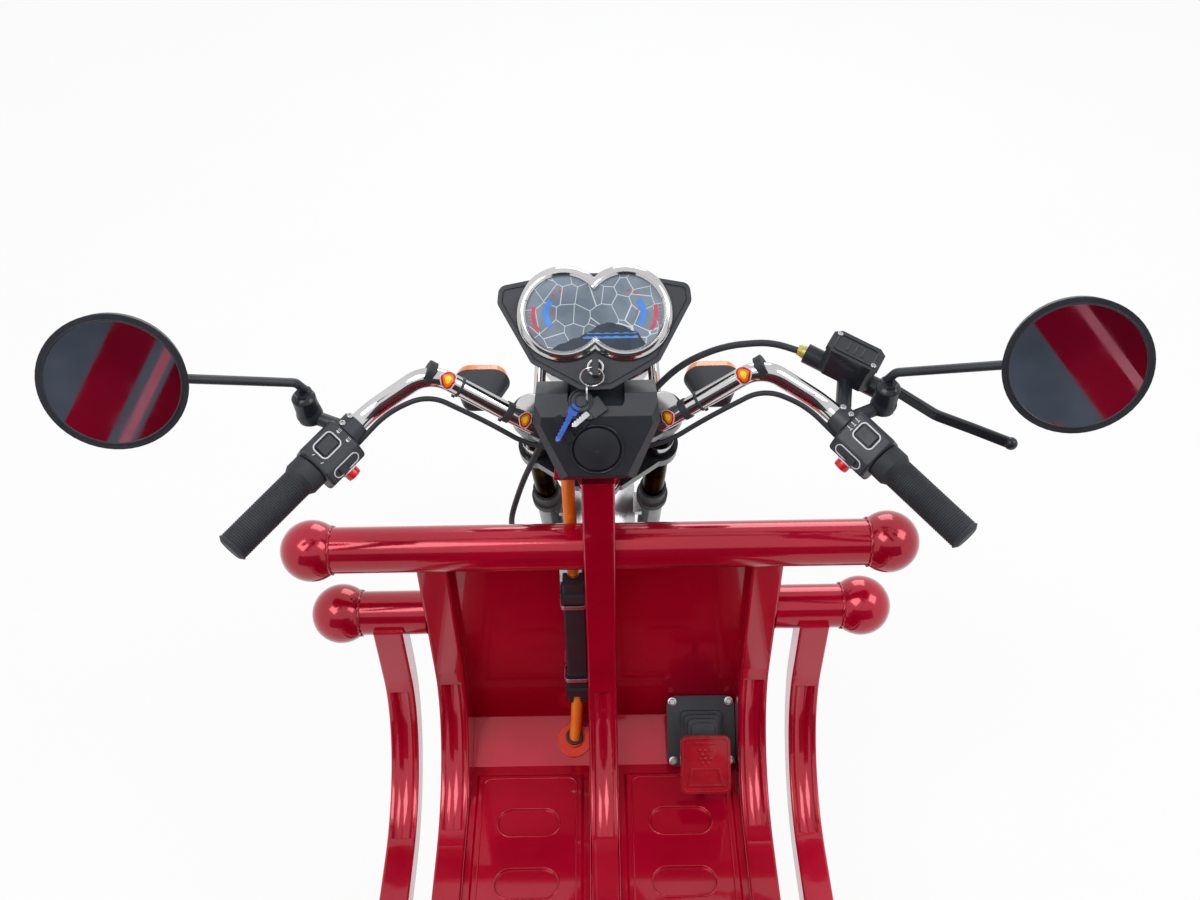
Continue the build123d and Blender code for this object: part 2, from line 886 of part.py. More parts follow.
def arch(half, radius, crown, start, end):
    """A mudguard shell about the X axis, from one angle ahead of level to another."""
    side = radius - crown
    lines = [ThreePointArc((-half, side), (0, radius), (half, side)),
             Line((half, side), (half - sheet, side)),
             ThreePointArc((half - sheet, side), (0, radius - sheet), (sheet - half, side)),
             Line((sheet - half, side), (-half, side))]
    shell = revolve(make_face(lines), axis=Axis.X, revolution_arc=end - start)
    return Rot(start, 0, 0) * shell


def front_mudguard():
    """The front mudguard and the tabs that hold it to the fork sliders."""
    shell = Pos(0, front_axle_y, axle_z) * arch(mudguard_half, mudguard_radius, mudguard_crown,
                                                 mudguard_front_angle, mudguard_rear_angle - mudguard_tab)
    side = mudguard_radius - mudguard_crown
    inner = leg_x - slider_diameter / 2
    tabs = []
    for x in (-1, 1):
        tab = in_leg(block((x * (mudguard_half - sheet), x * (inner + rim_lip)),
                           (-mudguard_tab / 2, mudguard_tab / 2), (side - mudguard_tab / 2, side + sheet)))
        slider = in_leg(Pos(x * leg_x, 0, 0) * Cylinder(slider_diameter / 2 + fit_gap, 2 * slider_top))
        tabs.append(tab - slider)
    return shell + tabs[0] + tabs[1]


def fork_sliders():
    """Lower legs with their axle lugs, the axle, its nuts and spacers."""
    legs = []
    for x in (-leg_x, leg_x):
        leg = Pos(x, 0, (slider_top - slider_low) / 2) * Cylinder(slider_diameter / 2,
                                                                  slider_top + slider_low)
        lug = Pos(x, 0, 0) * across(slider_diameter / 2, axle_nut)
        legs.append(leg + lug)
    reach = leg_x + axle_nut / 2 + axle_nut_thick
    axle = across(axle_diameter / 2, 2 * reach + axle_nut_thick)
    nuts = [Pos(x * (reach - axle_nut_thick / 2), 0, 0) * Rot(0, 90, 0)
            * extrude(RegularPolygon(axle_nut / 2, 6), amount=axle_nut_thick / 2, both=True) for x in (-1, 1)]
    inside = leg_x - axle_nut / 2
    start = hub_half + running_gap
    spacers = [Pos(x * (inside + start) / 2, 0, 0) * across(spacer_diameter / 2, inside - start)
               for x in (-1, 1)]
    whole = legs[0] + legs[1] + axle + nuts + spacers
    return in_leg(whole)


def fork_boots():
    """Rubber collars at the top of the sliders."""
    bore, wide = stanchion_diameter / 2, boot_diameter / 2
    waist = wide - boot_step
    outline = Polyline((bore, 0), (wide, 0), (wide, boot_bead), (waist, boot_bead + boot_step),
                       (waist, boot_height - boot_neck), (bore + boot_step, boot_height), (bore, boot_height),
                       close=True)
    boot = revolve(Plane.XZ * make_face(outline), axis=Axis.Z)
    return [in_leg(Pos(x, 0, slider_top) * boot) for x in (-leg_x, leg_x)]


def fork_stanchions():
    """Upper tubes from the sliders to the top of the upper yoke."""
    length = upper_yoke_low + upper_yoke_thick - slider_top
    return [in_leg(Pos(x, 0, slider_top + length / 2) * Cylinder(stanchion_diameter / 2, length))
            for x in (-leg_x, leg_x)]


def fork_caps():
    """Bright caps over the ends of the upper tubes."""
    top = upper_yoke_low + upper_yoke_thick
    caps = []
    for x in (-leg_x, leg_x):
        cap = Pos(x, 0, top + cap_height / 2) * Cylinder(cap_diameter / 2, cap_height)
        cap = chamfer(cap.edges().sort_by(Axis.Z)[-1], cap_bevel)
        caps.append(in_leg(cap))
    return caps


def yoke(low, thick):
    """A plate that ties both legs to the steering stem."""
    clamps = [Pos(x, 0) * Circle(leg_clamp / 2) for x in (-leg_x, leg_x)]
    boss = Pos(0, -leg_offset) * Circle(yoke_boss / 2)
    edge, rear = leg_clamp / 2, -leg_offset - yoke_boss / 4
    web = make_face(Polyline((-leg_x, edge), (leg_x, edge), (leg_x, -edge), (yoke_boss / 2, rear),
                             (-yoke_boss / 2, rear), (-leg_x, -edge), close=True))
    outline = boss + clamps + web
    for x in (-leg_x, leg_x):
        outline -= Pos(x, 0) * Circle(stanchion_diameter / 2)
    return Pos(0, 0, low) * extrude(outline, amount=thick)


def fork_yokes():
    """Both yokes and the stem that turns in the head tube."""
    stem_low, stem_high = lower_yoke_low, upper_yoke_low + upper_yoke_thick
    stem = Pos(0, -leg_offset, (stem_low + stem_high) / 2) * Cylinder(stem_diameter / 2, stem_high - stem_low)
    return in_leg(yoke(lower_yoke_low, yoke_thick) + yoke(upper_yoke_low, upper_yoke_thick) + stem)


def bar_clamp():
    """The riser on the upper yoke and the clamp that holds the handlebar."""
    low = upper_yoke_low + upper_yoke_thick
    riser = in_leg(Pos(0, -leg_offset - riser_back, (low + riser_top) / 2)
                   * Cylinder(riser_diameter / 2, riser_top - low))
    bar = in_leg_frame(from_bar(0, -bar_center_back, bar_center_z))
    clamp = in_leg(block((-clamp_width / 2, clamp_width / 2),
                         (bar.Y - clamp_depth / 2, bar.Y + clamp_depth / 2),
                         (riser_top, bar.Z + clamp_height / 2)))
    return riser + clamp - handlebar()


def in_leg_frame(point):
    """A vehicle point's place along the fork legs."""
    return leg_plane.to_local_coords(Vector(*point))


def handlebar_points():
    """Corners of the handlebar's centre line, from the left end to the right."""
    half = [(bar_straight, -bar_center_back, bar_center_z), (bar_peak_x, bar_peak_ahead, bar_peak_z),
            (bar_bend_x, -bar_bend_back, bar_bend_z), (bar_end_x, -bar_end_back, bar_end_z)]
    right = [from_bar(*point) for point in half]
    left = [from_bar(-x, ahead, z) for x, ahead, z in reversed(half)]
    return left + right


def handlebar():
    """The bent chrome tube."""
    radii = [*reversed(bar_bend_radii), *bar_bend_radii]
    return swept(handlebar_points(), radii, Circle(bar_diameter / 2))


def grip_plane(along):
    """A plane square to the right end of the bar, at a distance from its last corner."""
    corner, end = Vector(*handlebar_points()[-2]), Vector(*handlebar_points()[-1])
    direction = (end - corner).normalized()
    return Plane(origin=corner + direction * along, x_dir=(0, 0, 1), z_dir=direction)


def grip():
    """A rubber grip with its smooth inner collar and the bead round its end."""
    collar, body = grip_collar / 2, grip_diameter / 2
    neck_end = grip_collar_length + grip_taper
    outline = Polyline((0, 0), (collar, 0), (collar, grip_collar_length), (body, neck_end),
                       (body, grip_length - 2 * grip_bead), (body + grip_bead / 2, grip_length - grip_bead),
                       (body - grip_bead, grip_length), (0, grip_length), close=True)
    whole = revolve(Plane.XZ * make_face(outline), axis=Axis.Z)
    return grip_plane(grip_start).location * whole - handlebar()


def pod_section():
    """The pod's outline square to the bar: X out of its switch face, Y to its near side."""
    out, side = pod_thick / 2, pod_width / 2
    outline = Polyline((out, -side), (out, side - pod_slant), (out - pod_slant_drop, side), (-out, side),
                       (-out, -side), close=True)
    return fillet(make_face(outline).vertices(), pod_corner)


def switch_pod():
    """A moulded switch housing inside the grip, with its rocker and its thumb button."""
    body = Pos(0, pod_near) * extrude(pod_section(), amount=pod_length)
    ends = body.edges().group_by(Axis.Z)
    body = fillet([*ends[0], *ends[-1]], pod_round)
    out, middle = pod_thick / 2, pod_length / 2
    wide, long = rocker_size
    place = Pos(out, -rocker_far, middle)
    pocket = place * Box(2 * rocker_depth, wide, long)
    rocker = place * Pos((rocker_proud - rocker_depth) / 2, 0, 0) * Box(
        rocker_depth + rocker_proud, wide - 2 * rocker_proud, long - 2 * rocker_proud)
    near, button_x = pod_near + pod_width / 2, out - thumb_button_drop
    button = rod((button_x, 0, middle), (button_x, near + thumb_button_proud, middle), thumb_button)
    plane = grip_plane(grip_start - pod_gap - pod_length)
    return plane.location * Rot(0, 0, pod_turn) * (body - pocket + rocker + button) - handlebar()


def perch():
    """The clamp ring on the bar and the arm that carries the mirror's boot."""
    plane = grip_plane(perch_start)
    ring = extrude(plane * Circle(perch_diameter / 2), amount=perch_length)
    middle = grip_plane(perch_start + perch_length / 2).origin
    foot = Vector(*from_bar(*mirror_perch))
    arm = rod(middle, foot, mirror_arm)
    seat = Pos(foot) * Cylinder(mirror_boot / 2, mirror_arm / 2)
    return ring + arm + seat - handlebar() - switch_pod()


def mirror_center():
    """The middle of the right mirror's glass."""
    return from_bar(mirror_x, -mirror_back, mirror_z)


def mirror_plane():
    """The right mirror's glass, facing back, up and slightly in."""
    up, turn = radians(mirror_up), radians(mirror_in)
    normal = (-sin(turn) * cos(up), -cos(turn) * cos(up), sin(up))
    return Plane(origin=mirror_center(), x_dir=(cos(turn), -sin(turn), 0), z_dir=normal)


def cap_arc(radius, low, high):
    """An arc from a rim up to the axis, round a centre on the axis."""
    rise = high - low
    ball = (radius * radius + rise * rise) / (2 * rise)
    half = atan2(radius, abs(ball) - abs(rise)) / 2
    middle = (abs(ball) * sin(half), high - ball + ball * cos(half))
    return ThreePointArc((radius, low), middle, (0, high))


def mirror_housing():
    """A round mirror's shell: a short skirt, a domed back and the recess for its glass."""
    radius = mirror_diameter / 2
    lip = Polyline((0, -mirror_depth), (0, -mirror_glass), (radius - mirror_rim, -mirror_glass),
                   (radius - mirror_rim, 0), (radius, 0), (radius - mirror_taper, -mirror_skirt))
    dome = cap_arc(radius - mirror_taper, -mirror_skirt, -mirror_depth)
    shell = revolve(Plane.XZ * make_face([lip, dome]), axis=Axis.Z)
    return mirror_plane().location * shell


def mirror_rod():
    """The boot on its perch and the bent rod up to the mirror's shell."""
    low = Vector(*from_bar(*mirror_perch)) + Vector(0, 0, mirror_arm / 4)
    high = low + Vector(0, 0, mirror_boot_height)
    boot = Solid.make_cone(mirror_boot / 2, mirror_rod_diameter / 2 + sheet, mirror_boot_height,
                           Plane(origin=low))
    behind = mirror_plane().origin - mirror_plane().z_dir * mirror_socket
    bend = Vector(*from_bar(*mirror_bend))
    stem = swept([high, bend, behind], (mirror_bend_radius,), Circle(mirror_rod_diameter / 2))
    return boot + stem - mirror_housing() - perch()


def mirror_pane():
    """The round glass in the shell's recess."""
    pane = Pos(0, 0, -mirror_glass / 2) * Cylinder(mirror_diameter / 2 - mirror_rim, mirror_glass)
    return mirror_plane().location * pane


def brake_master():
    """Cylinder with a fluid tank and lid, and the arm that joins it to the perch ring."""
    start, end = Vector(*from_bar(*master_start)), Vector(*from_bar(*master_end))
    barrel = rod(start, end, master_diameter)
    middle = (start + end) * 0.5
    plane = Plane(origin=middle, x_dir=(end - start).cross(Vector(0, 0, 1)), z_dir=level_up(end - start))
    width, length, height = master_tank
    tank = chamfer(Box(width, length, height).edges().filter_by(Axis.Z), master_corner)
    lid = chamfer(Box(width + sheet, length + sheet, master_lid).edges().filter_by(Axis.Z), master_corner)
    top = Pos(0, 0, height / 2) * tank + Pos(0, 0, height + master_lid / 2) * lid
    arm = rod(grip_plane(perch_start + perch_length / 2).origin, middle, master_arm)
    pivot = Pos(end) * Box(master_diameter, master_diameter, master_pivot)
    return barrel + plane.location * top + arm + pivot - perch() - switch_pod() - handlebar()


def level_up(direction):
    """The upward direction square to another."""
    side = direction.cross(Vector(0, 0, 1))
    return side.cross(direction).normalized()


def brake_lever():
    """The curved flat lever with its ball end."""
    points = [from_bar(*point) for point in lever_points_out]
    arm = swept(points, lever_bends, RectangleRounded(lever_width, lever_thick, lever_corner))
    return arm + Pos(*points[-1]) * Sphere(lever_ball / 2) - brake_master() - mirror_rod() - perch()


def easy_bends(points):
    """A bend radius for each inner point of a hose, as large as its two runs allow."""
    spots = [Vector(*point) for point in points]
    radii = []
    for before, here, ahead in zip(spots, spots[1:], spots[2:]):
        turn = radians((here - before).get_angle(ahead - here))
        short = min((here - before).length, (ahead - here).length)
        radii.append(bend_fill_share * short / tan(turn / 2))
    return radii


def brake_hose():
    """The hose from the master cylinder into the cover, and on from it down to the caliper."""
    upper = [from_bar(*master_start)] + [from_bar(*point) for point in hose_points_out]
    lower = [from_bar(*point) for point in hose_lower_out]
    runs = [swept(points, easy_bends(points), Circle(hose_diameter / 2)) for points in (upper, lower)]
    return [runs[0] - brake_master() - bar_cover(), runs[1] - bar_cover() - brake_caliper() - fork_yokes()]


def control_cable():
    """The right switch pod's cable, under the bar and into the cover."""
    points = [from_bar(*point) for point in cable_points_out]
    cable = swept(points, easy_bends(points), Circle(cable_diameter / 2))
    return cable - switch_pod() - perch() - bar_cover() - handlebar()


def twin_ring(radius):
    """Two overlapping circles side by side."""
    return Pos(-dial_spacing / 2, 0) * Circle(radius) + Pos(dial_spacing / 2, 0) * Circle(radius)


def dial_bezel():
    """The bright twin-ring frame round the dials: a lip round the glass and a rounded outer slope."""
    outer, inner = dial_ring / 2, dial_ring / 2 - bezel_width
    crest = (inner + bezel_lip, bezel_height)
    foot = Polyline((outer, bezel_edge), (outer, 0), (inner, 0), (inner, bezel_height - bezel_lip), crest)
    slope = ThreePointArc(crest, (outer - bezel_shoulder[0], bezel_shoulder[1]), (outer, bezel_edge))
    ring = revolve(Plane.XZ * make_face([foot, slope]), axis=Axis.Z)
    rings = Pos(-dial_spacing / 2, 0, 0) * ring + Pos(dial_spacing / 2, 0, 0) * ring
    return dial_plane.location * (rings - extrude(twin_ring(inner), amount=bezel_height))


def dial_lens():
    """The clear window and dial face inside the bezel."""
    return dial_plane.location * extrude(twin_ring(dial_ring / 2 - bezel_width), amount=lens_thick)


def dial_case():
    """The winged housing behind the dials, with a fine groove inside its edge."""
    right = [(case_half * x, case_half * y) for x, y in case_wing_shares]
    left = [(-x, y) for x, y in reversed(right)]
    face = make_face(Polyline(*right, *left, close=True))
    front = fillet(face.vertices(), case_corner)
    back = Pos(0, 0, -case_depth) * scale(front, by=case_back_share)
    border = offset(front, -case_border) - offset(front, -case_border - case_groove)
    shell = loft([back, front]) - extrude(border, amount=-case_groove)
    return dial_plane.location * shell


def dial_straps():
    """Two flat straps from the upper yoke up to the case."""
    foot = leg_point(-leg_offset + yoke_boss / 2, upper_yoke_low + upper_yoke_thick)
    head = (dial_plane.location * Pos(0, 0, -case_depth / 2)).position
    straps = []
    for x in (-strap_x, strap_x):
        plane = Plane(origin=(x, foot.Y, foot.Z), x_dir=(1, 0, 0), z_dir=head - foot)
        straps.append(extrude(plane * Rectangle(strap_width, strap_thick), amount=(head - foot).length))
    return [strap - dial_case() - bar_clamp() - fork_yokes() for strap in straps]


def cover_plane():
    """The cover's leaning rear face, with its Y axis up the face."""
    low = Vector(*from_bar(0, -cover_back, cover_low))
    up = Vector(*from_bar(0, -cover_crease_back, cover_crease_z)) - low
    return Plane(origin=low, x_dir=(1, 0, 0), z_dir=Vector(1, 0, 0).cross(up))


def brow_plane():
    """The slope above the rear face, with its Y axis up the slope."""
    low = Vector(*from_bar(0, -cover_crease_back, cover_crease_z))
    up = Vector(*from_bar(0, -cover_brow_back, cover_brow_z)) - low
    return Plane(origin=low, x_dir=(1, 0, 0), z_dir=Vector(1, 0, 0).cross(up))


def cover_outline(inset):
    """The cover seen square to its rear face, drawn smaller by an inset."""
    low, high, top = (half - inset for half in (cover_half_low, cover_half_high, cover_half_top))
    return make_face(Polyline((-low, inset), (low, inset), (high, cover_widest_up), (top, cover_face_top),
                              (-top, cover_face_top), (-high, cover_widest_up), close=True))


def cover_button_solid(depth_only=False):
    """The round button's groove, or its domed centre."""
    place = cover_plane().location * Pos(0, cover_button_up, 0)
    outer, inner = cover_button / 2, cover_button / 2 - cover_button_ring
    if depth_only:
        return place * extrude(Circle(outer) - Circle(inner), amount=-cover_button_depth)
    foot = Polyline((0, cover_button_dome), (0, -sheet), (inner, -sheet), (inner, 0))
    dome = revolve(Plane.XZ * make_face([foot, cap_arc(inner, 0, cover_button_dome)]), axis=Axis.Z)
    return place * dome


def bar_cover():
    """The moulded cover over the clamp: a leaning face with a round button and a dish on top."""
    profile = make_face(Polyline(*[(bar_y + ahead, z) for ahead, z in (
        (-cover_back, cover_low), (-cover_crease_back, cover_crease_z), (-cover_brow_back, cover_brow_z),
        (cover_top_ahead, cover_top_z), (cover_ahead, cover_front_z), (cover_ahead, cover_low))], close=True))
    plane = cover_plane()
    inner_plane = plane.offset(-cover_bevel)
    bevel = loft([plane * cover_outline(cover_bevel), inner_plane * cover_outline(0)], ruled=True)
    prism = extrude(inner_plane * cover_outline(0), amount=-2 * (cover_back + cover_ahead))
    body = (bevel + prism) & extrude(Plane.YZ * profile, amount=cover_half_high + cut_over, both=True)
    dish = block((-cover_dish_half, cover_dish_half), from_to(-cover_dish_back, cover_ahead + cut_over),
                 (cover_dish_floor, cover_brow_z + cut_over))
    dish = fillet(dish.edges().filter_by(Axis.Z), cover_dish_corner)
    body = body - dish - cover_button_solid(True) + cover_button_solid()
    return body - handlebar() - bar_clamp()


def from_to(low, high):
    """A stretch along Y given by two distances ahead of the guard bar."""
    return (bar_y + low, bar_y + high)


def key_on_ring(top_x, low_x, length, bow_up):
    """A spare key: its bow on the brow and its blade hanging over the crease."""
    crease = (brow_plane().origin - cover_plane().origin).length
    place = Pos(top_x, bow_up, key_gap)
    bow = brow_plane().location * place * extrude(Circle(key_bow / 2), amount=key_blade_thick)
    lean = atan2(low_x - top_x, length) * 180 / pi
    middle = ((top_x + low_x) / 2, crease + key_over - length / 2)
    blade = Pos(*middle) * Rectangle(key_width, length, rotation=-lean)
    return bow + cover_plane().location * Pos(0, 0, key_gap) * extrude(blade, amount=key_blade_thick)


def ignition_key():
    """The lock in the case, the key in it, and the ring that carries a fob, a tag and spare keys."""
    face = dial_plane.location
    lock = face * Pos(0, -lock_down, lock_height / 2) * Cylinder(lock_diameter / 2, lock_height)
    head = face * Pos(0, -key_head_down, key_head[2] / 2) * Box(*key_head)
    rings = [Pos(*from_bar(-key_ring_left, key_ring_back - cover_brow_back, cover_crease_z + key_ring_up))
             * Rot(90, 0, 0) * Torus(key_ring_radius, key_wire / 2),
             Pos(*from_bar(-fob_ring_left, fob_ring_back - fob_ring_left, cover_crease_z + fob_ring_up))
             * Rot(0, 90, 0) * Torus(fob_ring_radius, key_wire / 2)]
    brow = brow_plane().location * Pos(0, 0, key_gap)
    fob = brow * extrude(Pos(*key_fob_place) * Circle(key_fob / 2), amount=key_thick)
    tag = brow * extrude(Pos(*key_tag_place) * Rectangle(*key_tag, rotation=key_tag_turn), amount=key_thick)
    whole = lock + head + rings[0] + rings[1] + fob + tag
    for top_x, low_x, length, bow_up in key_blades:
        whole += key_on_ring(top_x, low_x, length, bow_up)
    return whole - bar_cover() - dial_case() - dial_bezel()


def headlamp_plane():
    """The lamp's axis: it looks straight ahead."""
    center = leg_point(headlamp_ahead, headlamp_up_leg)
    return Plane(origin=center, x_dir=(1, 0, 0), z_dir=(0, 1, 0))


def headlamp_shell():
    """A round bowl with its bright rim and two arms to the fork tubes."""
    radius = headlamp_diameter / 2
    back = headlamp_rim_back - headlamp_bowl
    inner = radius - headlamp_rim
    rim = Polyline((0, back), (0, headlamp_recess), (inner, headlamp_recess), (inner, headlamp_face),
                   (radius, headlamp_face), (radius, headlamp_rim_back))
    outline = [rim, cap_arc(radius, headlamp_rim_back, back)]
    bowl = headlamp_plane().location * revolve(Plane.XZ * make_face(outline), axis=Axis.Z)
    center = headlamp_plane().origin
    place = headlamp_up_leg - headlamp_arm_drop
    root = leg_point(0, place)
    arms = []
    for x in (-1, 1):
        arms.append(rod((x * leg_x, root.Y, root.Z), (x * (radius - headlamp_arm), center.Y, center.Z),
                        2 * headlamp_arm))
        arms.append(in_leg(Pos(x * leg_x, 0, place)
                           * Cylinder(stanchion_diameter / 2 + headlamp_arm / 2, 3 * headlamp_arm)))
    return bowl + arms - fork_stanchions()


def headlamp_lens():
    """The domed glass inside the rim."""
    radius = headlamp_diameter / 2 - headlamp_rim
    low = headlamp_recess
    crown = low + headlamp_rim + 2 * sheet
    edge = Polyline((0, crown), (0, low), (radius, low), (radius, low + sheet))
    outline = [edge, cap_arc(radius, low + sheet, crown)]
    return headlamp_plane().location * revolve(Plane.XZ * make_face(outline), axis=Axis.Z)


def indicator_plane():
    """The joint between a turn signal's housing and its lens, facing ahead."""
    depth = indicator_size[1]
    center = from_bar(indicator_x, indicator_ahead + depth / 2, indicator_z)
    return Plane(origin=center, x_dir=(1, 0, 0), z_dir=(0, 1, 0))


def indicator_body():
    """One turn signal's tapering housing on its stalk and leg clamp."""
    width, depth, height = indicator_size
    plane = indicator_plane()
    front = SlotOverall(width, height)
    shell = loft([plane * front, plane.offset(-depth) * scale(front, by=indicator_tail_share)])
    shell = fillet(shell.edges().group_by(Axis.Y)[0], indicator_tail_round)
    leg = leg_point(0, indicator_leg_place())
    center = plane.origin - plane.z_dir * (depth / 2)
    stalk = rod((leg_x, leg.Y, leg.Z), center, stalk_diameter)
    ring = in_leg(Pos(leg_x, 0, indicator_leg_place())
                  * Cylinder(stanchion_diameter / 2 + rim_lip, stalk_diameter))
    stanchion = in_leg(Pos(leg_x, 0, indicator_leg_place())
                       * Cylinder(stanchion_diameter / 2, 2 * indicator_drop))
    return shell + stalk + ring - stanchion


def indicator_leg_place():
    """How far up the leg the turn signals are clamped."""
    return upper_yoke_low - indicator_drop


def indicator_lens_solid():
    """The amber lens on the front of a turn signal."""
    width, depth, height = indicator_size
    plane = indicator_plane()
    face = SlotOverall(width, height)
    nose = scale(face, by=indicator_nose_share)
    lens = loft([plane * face, plane.offset(indicator_lens) * nose])
    return fillet(lens.edges().group_by(Axis.Y)[-1], indicator_nose_round)


def brake_disc():
    """The drilled disc round the front hub's left end."""
    whole = across(disc_diameter / 2, disc_plate) - across(hub_diameter / 2, 2 * disc_plate)
    middle = disc_diameter / 2 - disc_track / 2
    for place in range(disc_holes):
        angle = 2 * pi * place / disc_holes
        whole -= Pos(0, middle * cos(angle), middle * sin(angle)) * across(disc_plate, 2 * disc_plate)
    return Pos(disc_plate / 2 - hub_half, front_axle_y, axle_z) * whole


def brake_caliper():
    """The caliper that straddles the disc, and its bracket to the left slider."""
    length, height = caliper_size
    disc_x = hub_half - disc_plate / 2
    body = block((-caliper_outer_x, -caliper_inner_x),
                 (-caliper_reach - height / 2, height / 2 - caliper_reach), (-length / 2, length / 2))
    slot = Pos(-disc_x, 0, 0) * across(disc_diameter / 2 + caliper_slot, caliper_slot)
    arm = block((-leg_x, caliper_arm - caliper_outer_x), (-caliper_reach, 0),
                (length / 2, length / 2 + caliper_arm))
    leg = Pos(-leg_x, 0, 0) * Cylinder(slider_diameter / 2 + fit_gap, 2 * slider_top)
    return in_leg(body + arm - slot - leg)


def leg_shield():
    """The sheet in front of the rider's legs, with its wiring notch."""
    half = inner_rail_x - rail_size / 2 - panel_side_gap
    top = upper_guard_z - guard_diameter / 2
    inside = column_width / 2 + panel_side_gap
    back, front = bar_y + shield_ahead, bar_y + shield_ahead + sheet
    right = block((inside, half), (back, front), (shield_low, top))
    left = block((-half, -inside), (back, front), (shield_low, top))
    notch = block(shield_notch, (back - cut_over, front + cut_over),
                  (top - shield_notch_drop, top + cut_over))
    seam = column_y + column_depth / 2 + fit_gap
    strip = block((-inside, inside), (seam, seam + sheet), (shield_low, top - guard_diameter))
    return [right + left + strip - notch - centre_column()]


def floor_panel():
    """The right floor panel: a slope, a flat with its pressed plateau, and oval dimples."""
    outer = inner_rail_x - rail_size / 2 - panel_side_gap
    inner = column_width / 2 + panel_side_gap
    start_y, end_y = bar_y + shield_ahead, box_front_y + sheet
    bend_y = bar_y - slope_back
    top = [(start_y, shield_low), (bend_y, floor_z), (end_y, floor_z)]
    under = [(y, z - sheet) for y, z in reversed(top)]
    sheet_part = extrude(Plane.YZ.offset(inner) * make_face(Polyline(*top, *under, close=True)),
                         amount=outer - inner)
    plateau = block((inner + plateau_inset, outer - plateau_inset),
                    (end_y + plateau_inset, bar_y - plateau_front_back), (floor_z, floor_z + plateau_height))
    plateau = chamfer(plateau.edges().group_by(Axis.Z)[-1], plateau_bevel)
    whole = sheet_part + plateau
    middle = (inner + outer) / 2
    count = int((bar_y - oval_first_back - end_y) / oval_pitch) + 1
    for place in range(count):
        y = bar_y - oval_first_back - place * oval_pitch
        oval = Pos(middle, y, floor_z) * extrude(SlotOverall(oval_length, oval_width),
                                                 amount=plateau_height + cut_over)
        whole -= oval
    return whole


def slope_plane():
    """The slope between shield and floor, at the grommet."""
    rise = shield_low - floor_z
    run = slope_back + shield_ahead
    middle = from_bar(grommet_x, (shield_ahead - slope_back) / 2, (shield_low + floor_z) / 2)
    return Plane(origin=middle, x_dir=(1, 0, 0), z_dir=(0, -rise, run))


def pedal_plane():
    """The pedal's base plate, which leans more steeply than the slope under it."""
    lean = radians(pedal_base_lean)
    middle = from_bar(pedal_x, pedal_base_ahead, pedal_base_z)
    return Plane(origin=middle, x_dir=(1, 0, 0), z_dir=(0, -sin(lean), cos(lean)))


def pedal_boot():
    """The pedal's base plate on its two gussets, with the ribbed rubber boot."""
    width, length = pedal_base
    plane = pedal_plane()
    boot = extrude(plane * RectangleRounded(width, length, pedal_base_corner), amount=-pedal_base_thick)
    step = pedal_boot_height / pedal_boot_ribs
    for place in range(pedal_boot_ribs):
        size = pedal_boot_low - (pedal_boot_low - pedal_boot_high) * place / pedal_boot_ribs
        level = plane.location * Pos(0, 0, place * step)
        section = RectangleRounded(size, size, pedal_boot_corner)
        waist = RectangleRounded(size - pedal_boot_fold, size - pedal_boot_fold, pedal_boot_corner)
        boot = boot + level * extrude(section, amount=pedal_boot_rib) + level * extrude(waist, amount=step)
    half = length / 2 - pedal_base_corner
    ends = [(plane.location * Pos(0, y, -pedal_base_thick / 2)).position for y in (-half, half)]
    low_z = floor_z + sheet
    outline = Polyline((ends[0].Y, ends[0].Z), (ends[1].Y, ends[1].Z), (ends[1].Y, low_z), (ends[0].Y, low_z),
                       close=True)
    for side in (-1, 1):
        gusset_x = pedal_x + side * (width / 2 - 2 * pedal_base_thick)
        boot += extrude(Plane.YZ.offset(gusset_x) * make_face(outline), amount=pedal_base_thick / 2,
                        both=True)
    return boot - below_floor()


def below_floor():
    """Everything under the right floor panel's upper face, ahead of its plateau."""
    back, front = bar_y - 2 * slope_back, bar_y + shield_ahead
    low = floor_z - slope_back
    outline = Polyline((front + cut_over, low), (front + cut_over, shield_low), (front, shield_low),
                       (bar_y - slope_back, floor_z), (back, floor_z), (back, low), close=True)
    return extrude(Plane.YZ * make_face(outline), amount=outer_rail_x)


def brake_pedal():
    """The foot brake: its arm out of the boot and its square pad."""
    width, length = pedal_pad
    center = Vector(*from_bar(pedal_x, -pedal_pad_back, pedal_pad_z))
    tilt = radians(pedal_tilt)
    plane = Plane(origin=center, x_dir=(1, 0, 0), z_dir=(0, -sin(tilt), cos(tilt)))
    pad = extrude(plane * RectangleRounded(width, length, pedal_pad_corner), amount=-pedal_pad_thick)
    root = pedal_plane().location * Pos(0, 0, pedal_arm_up)
    arm = rod(root.position, center - plane.z_dir * (pedal_pad_thick / 2), pedal_arm)
    return pad + arm - pedal_boot()


def wiring_conduit():
    """The ribbed conduit from the head down past the guard bar and through its sleeve to the floor."""
    points = [from_bar(*point) for point in conduit_points_out]
    tube = swept(points, conduit_bends, Circle(conduit_diameter / 2))
    return tube - mirror(below_floor(), about=Plane.YZ) - mirror(floor_panel(), about=Plane.YZ)


def conduit_sleeve():
    """The dark channel beside the column and its two clips."""
    low, high = sleeve_z
    near, far = sleeve_x[1], sleeve_x[0]
    middle_y = bar_y + conduit_points_out[3][1]
    deep = conduit_diameter / 2 + sleeve_wall
    body = block((far, near), (middle_y - deep, middle_y + deep), (low, high))
    body = fillet(body.edges().filter_by(Axis.Z), sleeve_wall)
    for z in (low + clip_inset, high - clip_inset):
        body += block((far - sleeve_wall, near), (middle_y - deep - sleeve_wall, middle_y + deep),
                      (z - clip_height / 2, z + clip_height / 2))
    return body - wiring_conduit() - centre_column()


